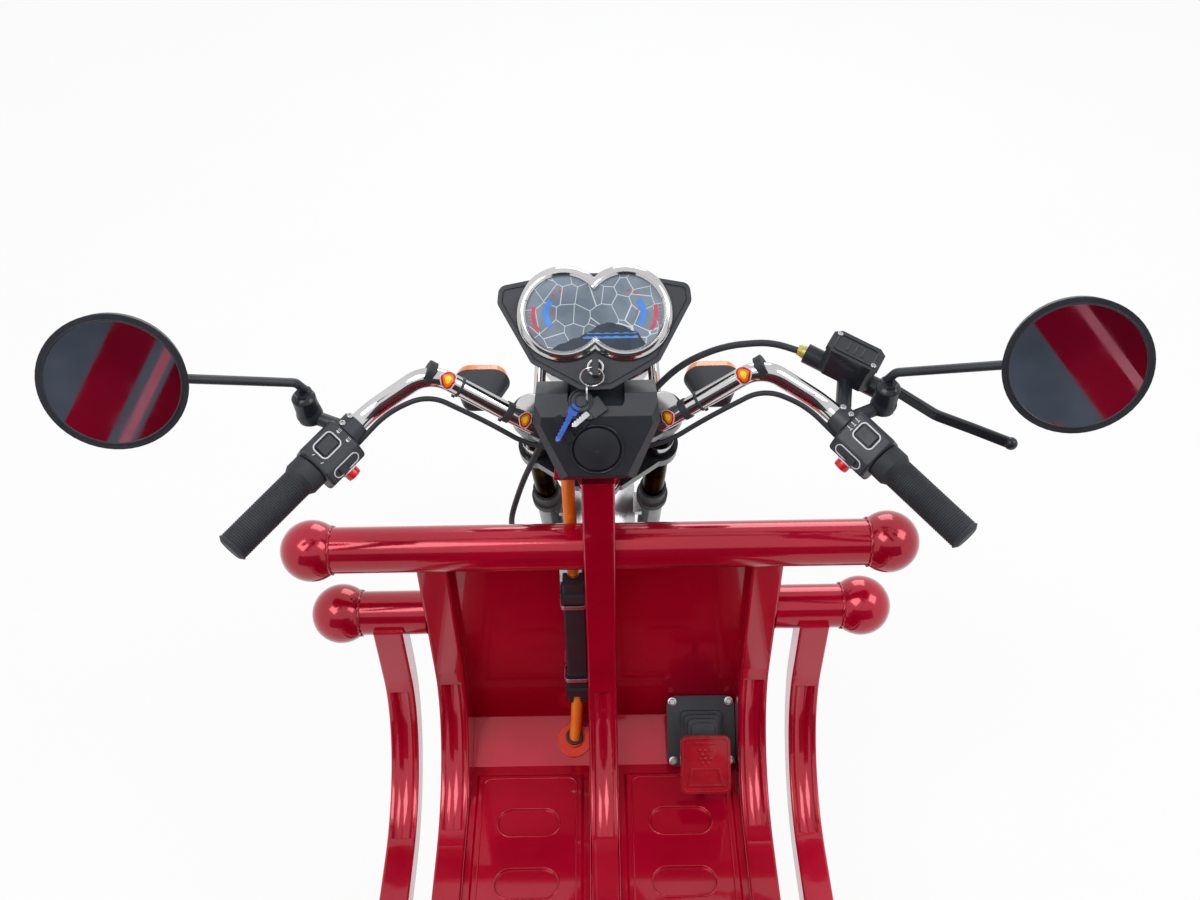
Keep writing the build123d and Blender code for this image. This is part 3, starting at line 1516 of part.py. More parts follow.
def floor_grommet():
    """The ring round the conduit where it enters the floor."""
    plane = Plane(origin=from_bar(*conduit_points_out[-1]), x_dir=(1, 0, 0), z_dir=slope_plane().z_dir)
    ring = extrude(plane * Circle(grommet_diameter / 2), amount=sleeve_wall)
    collar = extrude(plane * Circle(conduit_diameter / 2 + sleeve_wall), amount=3 * sleeve_wall)
    return ring + collar - wiring_conduit() - centre_column() - mirror(floor_panel(), about=Plane.YZ)


def battery_box():
    """The pressed steel box under the seat: it holds the batteries, so it is one heavy block."""
    body = block((-box_half, box_half), (box_rear_y, box_front_y), (rail_top, box_top - box_lid))
    body = fillet(body.edges().filter_by(Axis.Z), box_fillet)
    lid = block((-box_half - box_rib, box_half + box_rib), (box_rear_y - box_rib, box_front_y + box_rib),
                (box_top - box_lid, box_top))
    whole = body + fillet(lid.edges().filter_by(Axis.Z), box_fillet + box_rib)
    pitch = (box_length - 2 * box_fillet) / box_ribs
    for place in range(box_ribs):
        y = box_rear_y + box_fillet + pitch * (place + 0.5)
        for side in (-1, 1):
            whole += block((side * box_half, side * (box_half + box_rib)), (y - pitch / 4, y + pitch / 4),
                           (rail_top + 2 * box_fillet, box_top - box_lid - box_fillet))
    return whole


def seat_cushion():
    """The rider's seat."""
    low = box_top
    rear = box_front_y + 2 * box_rib - seat_length
    body = block((-seat_half, seat_half), (rear, box_front_y + 2 * box_rib), (low, low + seat_thick))
    return fillet(body.edges().filter_by(Axis.Z), 2 * seat_fillet)


def seat_back():
    """The padded backrest."""
    rear = box_front_y + 2 * box_rib - seat_length
    low = box_top + seat_thick + back_gap
    body = block((-back_half, back_half), (rear - back_thick / 2, rear + back_thick / 2),
                 (low, low + back_height))
    return fillet(body.edges().filter_by(Axis.Y), seat_fillet)


def seat_frame():
    """Two bent tubes behind the box that carry the backrest."""
    rear = box_front_y + 2 * box_rib - seat_length - back_thick / 2 - back_tube / 2
    low = rail_top + box_height / 2
    high = box_top + seat_thick + back_gap + back_tube_reach
    tubes = []
    for x in (-back_tube_x, back_tube_x):
        points = [(x, box_rear_y, low), (x, rear, low), (x, rear, high)]
        tubes.append(swept(points, (2 * back_tube,), Circle(back_tube / 2)))
    cross = rod((-back_tube_x, rear, high - back_tube), (back_tube_x, rear, high - back_tube), back_tube)
    return [tubes[0] + tubes[1] + cross - battery_box()]


def ribbed_sheet(length, height):
    """A corrugated sheet standing on the X axis, its ribs along Z and its flats facing -Y."""
    count = int(length / rib_pitch)
    margin = (length - count * rib_pitch) / 2
    front = [(0, 0)]
    for place in range(count):
        start = margin + place * rib_pitch
        flat = rib_pitch / 2 - rib_slope
        front += [(start + flat / 2, 0), (start + flat / 2 + rib_slope, rib_depth),
                  (start + rib_pitch - flat / 2 - rib_slope, rib_depth), (start + rib_pitch - flat / 2, 0)]
    front.append((length, 0))
    back = [(x, y + sheet) for x, y in reversed(front)]
    return extrude(make_face(Polyline(*front, *back, close=True)), amount=height)


def wall_panel(length, height):
    """A bed wall from its outer face: a tube frame round a corrugated sheet, X along, Z up."""
    tube = wall_tube
    outer = block((0, length), (0, tube), (0, height))
    inner = block((tube, length - tube), (-cut_over, tube + cut_over), (tube, height - tube))
    infill = ribbed_sheet(length - 2 * tube, height - 2 * tube)
    return outer - inner + Pos(tube, (tube - rib_depth - sheet) / 2, tube) * infill


def bed_side():
    """The bed's right wall, on the frame's rim between the front board and the tailgate."""
    length = bed_length - 2 * wall_tube - gate_gap
    start_y = tail_y + wall_tube + gate_gap
    wall = Rot(0, 0, 90) * wall_panel(length, wall_height + bed_sheet)
    return Pos(bed_width / 2, start_y, bed_under) * wall


def bed_front_board():
    """The wall behind the rider."""
    wall = wall_panel(bed_width, wall_height + bed_sheet)
    return Pos(-bed_width / 2, bed_front_y - wall_tube, bed_under) * wall


def tailgate():
    """The rear wall with its moving hinge knuckles and its latch handles."""
    panel = Pos(-bed_width / 2, tail_y, gate_low) * wall_panel(bed_width, wall_height - gate_gap)
    whole = panel
    for x in (-hinge_x, 0, hinge_x):
        whole += gate_knuckle(x)
    for side in (-1, 1):
        x = side * (bed_width / 2 - 3 * wall_tube)
        width, depth, height = latch_size
        whole += block((x - width / 2, x + width / 2), (tail_y - depth, tail_y),
                       (wall_top - height, wall_top))
    return whole


def gate_knuckle(x):
    """The middle knuckle of one hinge, with its strap up the gate."""
    half = knuckle_length / 2
    barrel = rod((x - half, hinge_y, hinge_z), (x + half, hinge_y, hinge_z), hinge_diameter)
    strap = block((x - half, x + half), (hinge_y - hinge_diameter / 2, tail_y),
                  (hinge_z, gate_low + wall_tube))
    bore = rod((x - knuckle_length, hinge_y, hinge_z), (x + knuckle_length, hinge_y, hinge_z),
               hinge_pin + 2 * running_gap)
    return barrel + strap - bore


def bed_hinges():
    """The fixed knuckles and pins at the back edge of the bed frame."""
    hinges = []
    half = knuckle_length / 2
    for x in (-hinge_x, 0, hinge_x):
        pin = rod((x - 3 * half, hinge_y, hinge_z), (x + 3 * half, hinge_y, hinge_z), hinge_pin)
        whole = pin
        for side in (-1, 1):
            near, far = x + side * (half + gate_gap), x + side * 3 * half
            whole += rod((near, hinge_y, hinge_z), (far, hinge_y, hinge_z), hinge_diameter)
            whole += block((near, far), (hinge_y, tail_y + gate_gap), (hinge_z - hinge_diameter / 2, hinge_z))
        hinges.append(whole)
    return hinges


def bed_frame():
    """Bearers across the longerons inside a rim of channel."""
    low, high = bearer_low, bed_under
    front, back = bed_front_y, tail_y + gate_gap
    outer = block((-bed_width / 2, bed_width / 2), (back, front), (low, high))
    inner = block((bearer_width - bed_width / 2, bed_width / 2 - bearer_width),
                  (back + bearer_width, front - bearer_width), (low - cut_over, high + cut_over))
    frame = outer - inner
    pitch = (front - back - bearer_width) / (bearer_count + 1)
    for place in range(bearer_count):
        y = back + bearer_width / 2 + pitch * (place + 1)
        frame += block((-bed_width / 2 + bearer_width / 2, bed_width / 2 - bearer_width / 2),
                       (y - bearer_width / 2, y + bearer_width / 2), (low, high))
    return frame


def bed_floor():
    """The plate that the load stands on, inside the walls."""
    half = bed_width / 2 - wall_tube
    return block((-half, half), (tail_y + gate_gap, bed_front_y - wall_tube), (bed_under, bed_floor_z))


def rear_mudguard():
    """The guard over the right rear wheel and the block that hangs it from the bed."""
    half = rear_guard_width / 2
    start = (half_turn - rear_guard_angle) / 2
    shell = Pos(track / 2, rear_axle_y, axle_z) * arch(half, mudguard_radius, rear_guard_edge, start,
                                                       half_turn - start)
    low = axle_z + mudguard_radius - 2 * rear_guard_edge
    post = block((bed_width / 2 - bearer_width + sheet, track / 2 + half - sheet),
                 (rear_axle_y - half, rear_axle_y + half), (low, bearer_low))
    inside = Pos(track / 2, rear_axle_y, axle_z) * across(mudguard_radius - rear_guard_edge, rear_guard_width)
    return shell + (post - inside)


def tail_lamp():
    """The right rear lamp's housing on the tail tie."""
    width, depth, height = tail_lamp_size
    back = tail_y + rail_size - tail_bracket
    low = longeron_z - rail_size / 2 - rail_size
    body = block((tail_lamp_x - width / 2, tail_lamp_x + width / 2), (back - depth + tail_lamp_lens, back),
                 (low, low + height))
    return fillet(body.edges().filter_by(Axis.Y), tail_bracket)


def tail_lens():
    """Its red and amber lens."""
    width, depth, height = tail_lamp_size
    back = tail_y + rail_size - tail_bracket - depth + tail_lamp_lens
    low = longeron_z - rail_size / 2 - rail_size
    body = block((tail_lamp_x - width / 2, tail_lamp_x + width / 2), (back - tail_lamp_lens, back),
                 (low, low + height))
    return fillet(body.edges().filter_by(Axis.Y), tail_bracket)


save("upper_guard_bar", *mirrored(upper_guard()))
save("lower_guard_bar", *mirrored(lower_guard()))
save("inner_rails", *mirrored(inner_rail()))
save("outer_rails", *mirrored(outer_rail()))
save("centre_column", centre_column())
save("chassis_frame", *chassis_frame(), *mirrored(tail_lamp()))
save("leaf_springs", *mirrored(leaf_spring()), *mirrored(shackle()))
save("rear_axle", joined(rear_axle(), *mirrored(u_bolts())))
save("drive_motor", drive_motor())
front_wheel_place = Pos(0, front_axle_y, axle_z)
save("front_rim", joined(front_wheel_place * wheel_rim(axle_diameter + 2 * running_gap), brake_disc()))
save("front_tyre", front_wheel_place * tyre())
for side, name in ((-1, "left"), (1, "right")):
    place = Pos(side * track / 2, rear_axle_y, axle_z)
    save("rear_rim_" + name, place * wheel_rim(half_shaft + 2 * running_gap, -side))
    save("rear_tyre_" + name, place * tyre())
save("front_mudguard", front_mudguard())
save("fork_sliders", fork_sliders())
save("fork_boots", *fork_boots())
save("fork_stanchions", *fork_stanchions())
save("fork_caps", *fork_caps())
save("fork_yokes", joined(fork_yokes(), *dial_straps()))
save("brake_caliper", brake_caliper())
save("bar_clamp", bar_clamp())
save("handlebar", handlebar())
save("grips", *mirrored(grip()))
save("switch_pods", *mirrored(switch_pod() + perch()))
save("brake_master", brake_master())
save("brake_lever", brake_lever())
save("brake_hose", *brake_hose())
save("control_cables", *mirrored(control_cable()))
save("mirror_housings", *mirrored(mirror_housing() + mirror_rod()))
save("mirror_panes", *mirrored(mirror_pane()))
save("dial_bezel", dial_bezel())
save("dial_lens", dial_lens())
save("dial_case", dial_case())
save("bar_cover", bar_cover())
save("ignition_key", ignition_key())
save("headlamp_shell", headlamp_shell())
save("headlamp_lens", headlamp_lens())
save("indicators", *mirrored(indicator_body()))
save("indicator_lenses", *mirrored(indicator_lens_solid()))
save("leg_shield", *leg_shield())
save("floor_panels", *mirrored(floor_panel()))
save("pedal_boot", pedal_boot())
save("brake_pedal", brake_pedal())
save("wiring_conduit", wiring_conduit())
save("conduit_sleeve", conduit_sleeve())
save("floor_grommet", floor_grommet())
save("battery_box", battery_box())
save("seat_cushion", seat_cushion())
save("seat_back", seat_back())
save("seat_frame", *seat_frame())
save("bed_frame", joined(bed_frame(), *bed_hinges()))
save("bed_floor", bed_floor())
save("bed_front_board", bed_front_board())
save("bed_sides", *mirrored(bed_side()))
save("tailgate", tailgate())
save("rear_mudguards", *mirrored(rear_mudguard()))
save("tail_lenses", *mirrored(tail_lens()))
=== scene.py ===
import json
import math

import bmesh
import bpy
from mathutils import Matrix, Vector


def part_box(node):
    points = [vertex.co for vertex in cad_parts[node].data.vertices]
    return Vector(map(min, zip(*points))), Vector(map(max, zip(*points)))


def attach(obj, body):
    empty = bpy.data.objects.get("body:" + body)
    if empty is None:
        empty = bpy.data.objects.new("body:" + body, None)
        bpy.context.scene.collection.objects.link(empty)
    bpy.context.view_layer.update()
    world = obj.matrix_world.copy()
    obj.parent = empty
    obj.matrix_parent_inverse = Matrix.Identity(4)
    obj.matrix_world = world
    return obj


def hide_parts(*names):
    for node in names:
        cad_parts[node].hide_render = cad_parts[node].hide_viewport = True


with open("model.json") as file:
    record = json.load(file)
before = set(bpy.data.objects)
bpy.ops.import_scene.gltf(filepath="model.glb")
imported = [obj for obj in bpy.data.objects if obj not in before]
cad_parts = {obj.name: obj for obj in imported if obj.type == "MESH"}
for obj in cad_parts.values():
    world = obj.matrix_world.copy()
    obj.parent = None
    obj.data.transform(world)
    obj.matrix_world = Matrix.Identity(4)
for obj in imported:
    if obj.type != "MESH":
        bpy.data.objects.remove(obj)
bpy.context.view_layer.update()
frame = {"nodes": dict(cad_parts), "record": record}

NODES = frame["nodes"]
MM = 0.001
BAR_Y = 868.1  # the upper guard bar's axis, in millimetres, which places are given from
RIGHT, AHEAD, UP = (1, 0, 0), (0, 1, 0), (0, 0, 1)


# Finishes

# Columns: metallic, roughness low and high, coat, noise scale, bump scale, bump depth and edge radius in mm
LENS, PAPER = (0.0, 0.1, 0.18, 0.6, 12, 300, 0.15, 0.8), (0.0, 0.26, 0.36, 0.5, 60, 900, 0.02, 0.2)
DISPLAY = (0.0, 0.16, 0.26, 0.8, 60, 900, 0.02, 0.2)
# Columns: dark colour, light colour, then the same
FINISHES = {
    "red_paint": ((0.38, 0.0006, 0.016), (0.5, 0.0014, 0.028), 0.3, 0.14, 0.24, 0.72, 5, 260, 0.06, 1.2),
    "bed_steel": ((0.32, 0.0006, 0.011), (0.42, 0.001, 0.018), 0.25, 0.26, 0.38, 0.35, 4, 220, 0.08, 1.2),
    "black_plastic": ((0.012, 0.015, 0.02), (0.022, 0.026, 0.034), 0.0, 0.4, 0.52, 0.0, 14, 1500, 0.12, 1.0),
    "rubber": ((0.011, 0.013, 0.017), (0.022, 0.026, 0.032), 0.0, 0.58, 0.72, 0.0, 20, 1200, 0.2, 0.8),
    "tyre": ((0.01, 0.01, 0.01), (0.026, 0.025, 0.023), 0.0, 0.72, 0.88, 0.0, 18, 700, 0.4, 1.0),
    "chrome": ((0.52, 0.51, 0.51), (0.66, 0.66, 0.67), 1.0, 0.05, 0.12, 0.0, 9, 90, 0.02, 0.8),
    "dark_chrome": ((0.08, 0.074, 0.066), (0.14, 0.13, 0.116), 1.0, 0.12, 0.22, 0.0, 9, 120, 0.02, 0.8),
    "steel": ((0.42, 0.42, 0.43), (0.56, 0.56, 0.57), 0.9, 0.22, 0.34, 0.0, 11, 400, 0.05, 0.8),
    "black_steel": ((0.01, 0.012, 0.016), (0.02, 0.023, 0.029), 0.1, 0.26, 0.38, 0.3, 10, 500, 0.06, 0.8),
    "cast_alloy": ((0.34, 0.35, 0.36), (0.46, 0.47, 0.48), 0.8, 0.36, 0.5, 0.0, 16, 700, 0.25, 0.8),
    "orange_plastic": ((0.96, 0.2, 0.008), (1.0, 0.28, 0.014), 0.0, 0.3, 0.42, 0.0, 20, 800, 0.08, 0.6),
    "amber": ((0.8, 0.16, 0.004), (0.95, 0.26, 0.008), *LENS),
    "red_lens": ((0.38, 0.002, 0.003), (0.52, 0.006, 0.006), *LENS),
    "red_rubber": ((0.32, 0.003, 0.012), (0.44, 0.006, 0.018), 0.0, 0.2, 0.32, 0.5, 22, 900, 0.15, 1.0),
    "grommet_rubber": ((0.66, 0.03, 0.006), (0.8, 0.045, 0.01), 0.0, 0.34, 0.46, 0.2, 22, 900, 0.15, 1.0),
    "seat_cover": ((0.012, 0.012, 0.013), (0.024, 0.024, 0.026), 0.0, 0.42, 0.58, 0.0, 24, 420, 0.5, 1.0),
    "white_print": ((0.62, 0.63, 0.64), (0.76, 0.77, 0.78), 0.0, 0.3, 0.42, 0.2, 30, 900, 0.02, 0.2),
    "horn_red": ((0.62, 0.004, 0.01), (0.76, 0.008, 0.016), 0.0, 0.16, 0.26, 0.6, 30, 900, 0.04, 0.4),
    "zinc": ((0.42, 0.4, 0.1), (0.56, 0.52, 0.14), 0.8, 0.24, 0.36, 0.0, 40, 900, 0.04, 0.3),
    "key_blue": ((0.01, 0.06, 0.3), (0.02, 0.1, 0.46), 0.3, 0.2, 0.3, 0.5, 40, 900, 0.04, 0.3),
    "flame_yellow": ((0.9, 0.62, 0.01), (1.0, 0.74, 0.02), *PAPER),
    "flame_orange": ((0.85, 0.16, 0.004), (0.95, 0.24, 0.008), *PAPER),
    "flame_red": ((0.5, 0.004, 0.004), (0.62, 0.008, 0.008), *PAPER),
    "dial_blue": ((0.04, 0.2, 0.62), (0.08, 0.3, 0.82), *DISPLAY),
    "dial_red": ((0.52, 0.05, 0.09), (0.66, 0.09, 0.13), *DISPLAY),
    "dial_hill": ((0.012, 0.022, 0.04), (0.03, 0.045, 0.07), *DISPLAY),
}
COAT_ROUGHNESS = 0.04
COATED_SPECULAR, BARE_SPECULAR = 0.2, 0.5
POLISHED = (0.01, 0.05)
# How metals tint what they reflect at a glance, where it isn't white
EDGE_TINTS = {"dark_chrome": (0.22, 0.21, 0.19), "chrome": (0.8, 0.8, 0.81)}


class Tree:
    """The nodes of a material or the world, with short ways to add to them."""

    def __init__(self, owner):
        owner.use_nodes = True
        self.nodes, self.links = owner.node_tree.nodes, owner.node_tree.links

    def feed(self, node, inputs):
        """Sets a node's inputs to numbers, or links them to other nodes' outputs."""
        for socket, value in inputs.items():
            if isinstance(value, bpy.types.NodeSocket):
                self.links.new(value, node.inputs[socket])
            else:
                node.inputs[socket].default_value = value
        return node

    def node(self, kind, inputs):
        """A new node with its inputs."""
        return self.feed(self.nodes.new(kind), inputs)

    def blend(self, share, first, second):
        """A mix of two shaders."""
        return self.node("ShaderNodeMixShader", {"Fac": share, 1: first, 2: second}).outputs[0]

    def seen_directly(self):
        """1 for rays from the camera, a mirror or glass, and 0 for those that light the object."""
        rays = self.nodes.new("ShaderNodeLightPath").outputs
        seen = rays["Is Camera Ray"]
        for kind in ("Is Glossy Ray", "Is Transmission Ray"):
            larger = self.node("ShaderNodeMath", {0: seen, 1: rays[kind]})
            larger.operation = "MAXIMUM"
            seen = larger.outputs[0]
        return seen


class Material(Tree):
    """A new material with its shader, and noises over the piece's own coordinates."""

    def __init__(self, name):
        self.material = bpy.data.materials.new(name)
        super().__init__(self.material)
        self.shader = self.nodes["Principled BSDF"]
        self.place = self.nodes.new("ShaderNodeTexCoord").outputs["Object"]

    def noise(self, scale):
        """A noise texture's value."""
        inputs = {"Vector": self.place, "Scale": scale, "Detail": 4.0}
        return self.node("ShaderNodeTexNoise", inputs).outputs["Fac"]

    def ramp(self, value, stops):
        """A colour ramp over a value: stops are places with colours."""
        node = self.node("ShaderNodeValToRGB", {"Fac": value})
        for element, (at, color) in zip(node.color_ramp.elements, stops):
            element.position = at
            element.color = (*color, 1.0)
        return node.outputs["Color"]

    def mottled(self, scale, dark, light, low=0.3, high=0.7):
        """A colour that wanders between two tones."""
        return self.ramp(self.noise(scale), ((low, dark), (high, light)))

    def worn(self, scale, low, high):
        """A roughness that wanders between two values."""
        value = self.noise(scale)
        inputs = {"Value": value, "From Min": 0.3, "From Max": 0.7, "To Min": low, "To Max": high}
        return self.node("ShaderNodeMapRange", inputs).outputs["Result"]

    def surface(self, scale, depth, edge):
        """Fine bumps over edges that look rounded."""
        bevel = self.node("ShaderNodeBevel", {"Radius": edge * MM})
        bevel.samples = 4
        normal = bevel.outputs["Normal"]
        inputs = {"Height": self.noise(scale), "Strength": 1.0, "Distance": depth * MM, "Normal": normal}
        bump = self.node("ShaderNodeBump", inputs)
        self.feed(self.shader, {"Normal": bump.outputs["Normal"], "Coat Normal": normal})


def finish_material(name):
    """The procedural material of one finish."""
    dark, light, metallic, rough_low, rough_high, coat, scale, bump_scale, depth, edge = FINISHES[name]
    tree = Material(name)
    tree.feed(tree.shader, {
        "Metallic": metallic, "Coat Weight": coat, "Coat Roughness": COAT_ROUGHNESS,
        "Specular IOR Level": COATED_SPECULAR if coat else BARE_SPECULAR,
        "Base Color": tree.mottled(scale, dark, light),
        "Roughness": tree.worn(scale * 3, rough_low, rough_high)})
    if name in EDGE_TINTS:
        tree.feed(tree.shader, {"Specular Tint": (*EDGE_TINTS[name], 1)})
    tree.surface(bump_scale, depth, edge)
    return tree.material


def mirror_material():
    """Dark tinted mirror glass."""
    tree = Material("mirror")
    film = tree.mottled(6, (0.62, 0.66, 0.72), (0.72, 0.76, 0.82))
    tree.feed(tree.shader, {"Metallic": 1.0, "Base Color": film, "Roughness": tree.worn(30, *POLISHED)})
    return tree.material


def clear_material():
    """Clear plastic with faint moulding waves."""
    tree = Material("clear")
    tint = tree.mottled(8, (0.86, 0.9, 0.92), (0.93, 0.96, 0.98))
    tree.feed(tree.shader, {"Transmission Weight": 1.0, "IOR": 1.45, "Base Color": tint,
                            "Roughness": tree.worn(40, *POLISHED)})
    tree.surface(60, 0.05, 0.5)
    return tree.material


def dial_material():
    """Grey-blue dial glass with the white crackle lines of its printed film."""
    tree = Material("dial_glass")
    cells = tree.node("ShaderNodeTexVoronoi", {"Vector": tree.place, "Scale": 48})
    cells.feature = "DISTANCE_TO_EDGE"
    base = tree.mottled(14, (0.09, 0.13, 0.18), (0.26, 0.32, 0.39), 0.35, 0.65)
    lines = tree.ramp(cells.outputs["Distance"], ((0.008, (1, 1, 1)), (0.022, (0, 0, 0))))
    mix = tree.nodes.new("ShaderNodeMix")
    mix.data_type = "RGBA"
    tree.feed(mix, {"Factor": lines, "A": base, "B": (0.66, 0.7, 0.74, 1)})
    tree.feed(tree.shader, {"Base Color": mix.outputs["Result"], "Coat Weight": 1.0, "Coat Roughness": 0.03,
                            "Roughness": tree.worn(60, 0.12, 0.22)})
    return tree.material


MATERIALS = {name: finish_material(name) for name in FINISHES}
MATERIALS["mirror"] = mirror_material()
MATERIALS["clear"] = clear_material()
MATERIALS["dial_glass"] = dial_material()
OWN_FINISH = {"dial_lens": "dial_glass", "floor_grommet": "grommet_rubber", "fork_sliders": "black_steel"}
SLOTS = {row["node"]: row["material_slot"] for row in frame["record"]["subparts"]}
for node_name, slot_name in SLOTS.items():
    node = NODES[node_name]
    node.data.materials.clear()
    node.data.materials.append(MATERIALS[OWN_FINISH.get(node_name, slot_name)])


# Mesh helpers: every local place is in millimetres, and a frame turns it into metres

def placed(name, data):
    """A new object in the scene."""
    made = bpy.data.objects.new(name, data)
    bpy.context.scene.collection.objects.link(made)
    return made


def bar(x, ahead, z):
    """A point in millimetres right of the middle, ahead of the guard bar and above the ground."""
    return Vector((x, BAR_Y + ahead, z))


def on_side(point, side):
    """A point on the right, or its twin on the left for side -1."""
    return Vector((side * point.x, point.y, point.z))


def node_middle(node):
    """The middle of a CAD node's box, in millimetres."""
    low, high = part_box(node)
    return (Vector(low) + Vector(high)) / 2 / MM


def local_frame(origin, x_dir, normal):
    """The matrix from local millimetres to metres, its Z along the normal."""
    z = Vector(normal).normalized()
    x = Vector(x_dir)
    x = (x - z * x.dot(z)).normalized()
    turn = Matrix((x, z.cross(x), z)).transposed().to_4x4()
    return Matrix.Scale(MM, 4) @ Matrix.Translation(origin) @ turn


def twin(matrix):
    """The same frame on the left side."""
    return Matrix.Diagonal((-1, 1, 1, 1)) @ matrix


def shape():
    """An empty list of points and faces."""
    return [], []


def add(into, points, faces, matrix=None):
    """Adds points and faces to a shape."""
    start = len(into[0])
    into[0].extend(matrix @ Vector(p) if matrix else Vector(p) for p in points)
    into[1].extend([start + i for i in face] for face in faces)
    return into


def piece(name, built, body, slot, finish=None, bevel=0.0, smooth=35):
    """Makes an object of a shape, with its body, slot and material."""
    mesh = bpy.data.meshes.new(name)
    mesh.from_pydata([tuple(p) for p in built[0]], [], built[1])
    work = bmesh.new()
    work.from_mesh(mesh)
    bmesh.ops.recalc_face_normals(work, faces=work.faces)
    for edge in work.edges:
        edge.smooth = not edge.is_manifold or edge.calc_face_angle(0) < math.radians(smooth)
    for face in work.faces:
        face.smooth = True
    work.to_mesh(mesh)
    work.free()
    made = placed(name, mesh)
    mesh.materials.append(MATERIALS[finish or slot])
    if bevel:
        rounding = made.modifiers.new("rounding", "BEVEL")
        rounding.width = bevel * MM
        rounding.segments = 2
        rounding.limit_method = "ANGLE"
    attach(made, body)
    return made


def plate(outline, low, high):
    """An outline raised between two heights."""
    count = len(outline)
    points = [(x, y, z) for z in (low, high) for x, y in outline]
    sides = [(i, (i + 1) % count, count + (i + 1) % count, count + i) for i in range(count)]
    return points, [list(reversed(range(count))), list(range(count, 2 * count)), *sides]


def rounded(width, length, corner, steps=5):
    """A rectangle with round corners."""
    points = []
    for quarter, (sx, sy) in enumerate(((1, 1), (-1, 1), (-1, -1), (1, -1))):
        for step in range(steps + 1):
            angle = math.radians(90) * (quarter + step / steps)
            points.append((sx * (width / 2 - corner) + corner * math.cos(angle),
                           sy * (length / 2 - corner) + corner * math.sin(angle)))
    return points


def moved(outline, x, y, turn=0.0):
    """An outline turned and moved."""
    c, s = math.cos(math.radians(turn)), math.sin(math.radians(turn))
    return [(x + c * px - s * py, y + s * px + c * py) for px, py in outline]


def frame_band(outer, inner, low, high):
    """A flat frame between two outlines of as many points."""
    count = len(outer)
    points = [(x, y, z) for z in (low, high) for ring in (outer, inner) for x, y in ring]
    faces = []
    for i in range(count):
        k = (i + 1) % count
        faces += [(2 * count + i, 2 * count + k, 3 * count + k, 3 * count + i), (i, count + i, count + k, k),
                  (i, k, 2 * count + k, 2 * count + i), (count + i, 3 * count + i, 3 * count + k, count + k)]
    return points, faces


def arc_band(radius, width, start, end, low, high, steps=20):
    """A flat band along an arc."""
    outline = []
    for r, order in ((radius + width / 2, range(steps + 1)), (radius - width / 2, range(steps, -1, -1))):
        for step in order:
            angle = math.radians(start + (end - start) * step / steps)
            outline.append((r * math.cos(angle), r * math.sin(angle)))
    return plate(outline, low, high)


def turned(profile, steps=32):
    """A profile of radius and height turned about the local Z."""
    points = [(r * math.cos(math.tau * i / steps), r * math.sin(math.tau * i / steps), z)
              for r, z in profile for i in range(steps)]
    faces = [(row * steps + i, row * steps + (i + 1) % steps, (row + 1) * steps + (i + 1) % steps,
              (row + 1) * steps + i) for row in range(len(profile) - 1) for i in range(steps)]
    last = (len(profile) - 1) * steps
    return points, [*faces, list(reversed(range(steps))), list(range(last, last + steps))]


def hex_bolt(across, height, washer):
    """A washer and a hexagon head with a rounded top."""
    built = shape()
    add(built, *turned([(washer / 2, 0), (washer / 2, height * 0.2), (across * 0.5, height * 0.3)], 20))
    radius = across / math.sqrt(3)
    add(built, *turned([(radius, height * 0.2), (radius, height * 0.85), (radius * 0.86, height)], 6))
    return built


def tube(path, radius, steps=12, closed=False):
    """A round tube along points, or one whose radius is given for each point."""
    radii = radius if isinstance(radius, list) else [radius] * len(path)
    count = len(path)
    points, across = [], None
    for i, spot in enumerate(path):
        before = path[i - 1] if i or closed else spot
        after = path[(i + 1) % count] if i < count - 1 or closed else spot
        along = (after - before).normalized()
        if across is None:
            across = along.orthogonal()
        across = (across - along * across.dot(along)).normalized()
        other = along.cross(across)
        for step in range(steps):
            angle = math.tau * step / steps
            points.append(spot + (across * math.cos(angle) + other * math.sin(angle)) * radii[i])
    spans = count if closed else count - 1
    faces = []
    for i in range(spans):
        a, b = i * steps, (i + 1) % count * steps
        faces += [(a + k, a + (k + 1) % steps, b + (k + 1) % steps, b + k) for k in range(steps)]
    if not closed:
        faces += [list(reversed(range(steps))), list(range(len(points) - steps, len(points)))]
    return points, faces


def circle_path(radius, count=40):
    """Points round a circle in the local XY plane."""
    return [Vector((radius * math.cos(math.tau * i / count), radius * math.sin(math.tau * i / count), 0))
            for i in range(count)]


def wire_loop(place, radius, thick, count=40, steps=10):
    """A closed wire round a frame's Z."""
    return tube([place @ p for p in circle_path(radius, count)], thick * MM, steps, closed=True)


def route_points(route):
    """Points along the smooth curve of a cord's route."""
    curve = bpy.data.curves.new("route", "CURVE")
    curve.dimensions = "3D"
    curve.resolution_u = 24
    spline = curve.splines.new("NURBS")
    spline.points.add(len(route) - 1)
    for point, spot in zip(spline.points, route):
        point.co = (*(spot * MM), 1)
    spline.order_u = 3
    spline.use_endpoint_u = True
    holder = placed("route", curve)
    bpy.context.view_layer.update()
    line = bpy.data.meshes.new_from_object(holder)
    points = [vertex.co.copy() for vertex in line.vertices]
    bpy.data.objects.remove(holder)
    bpy.data.meshes.remove(line)
    return points


def evenly(points, pitch):
    """Points at an even pitch along others."""
    out, carried = [points[0]], 0.0
    for a, b in zip(points, points[1:]):
        run = (b - a).length
        while run and carried + run >= pitch:
            share = (pitch - carried) / run
            a = a.lerp(b, share)
            out.append(a)
            run = (b - a).length
            carried = 0.0
        carried += run
    return out


# The instrument

DIAL = local_frame(bar(0, 36, 1080), RIGHT, (0, -1, 1))
RING_X, GLASS_R = 34, 42.5
GLASS_TOP, PRINT = 3.0, 0.25
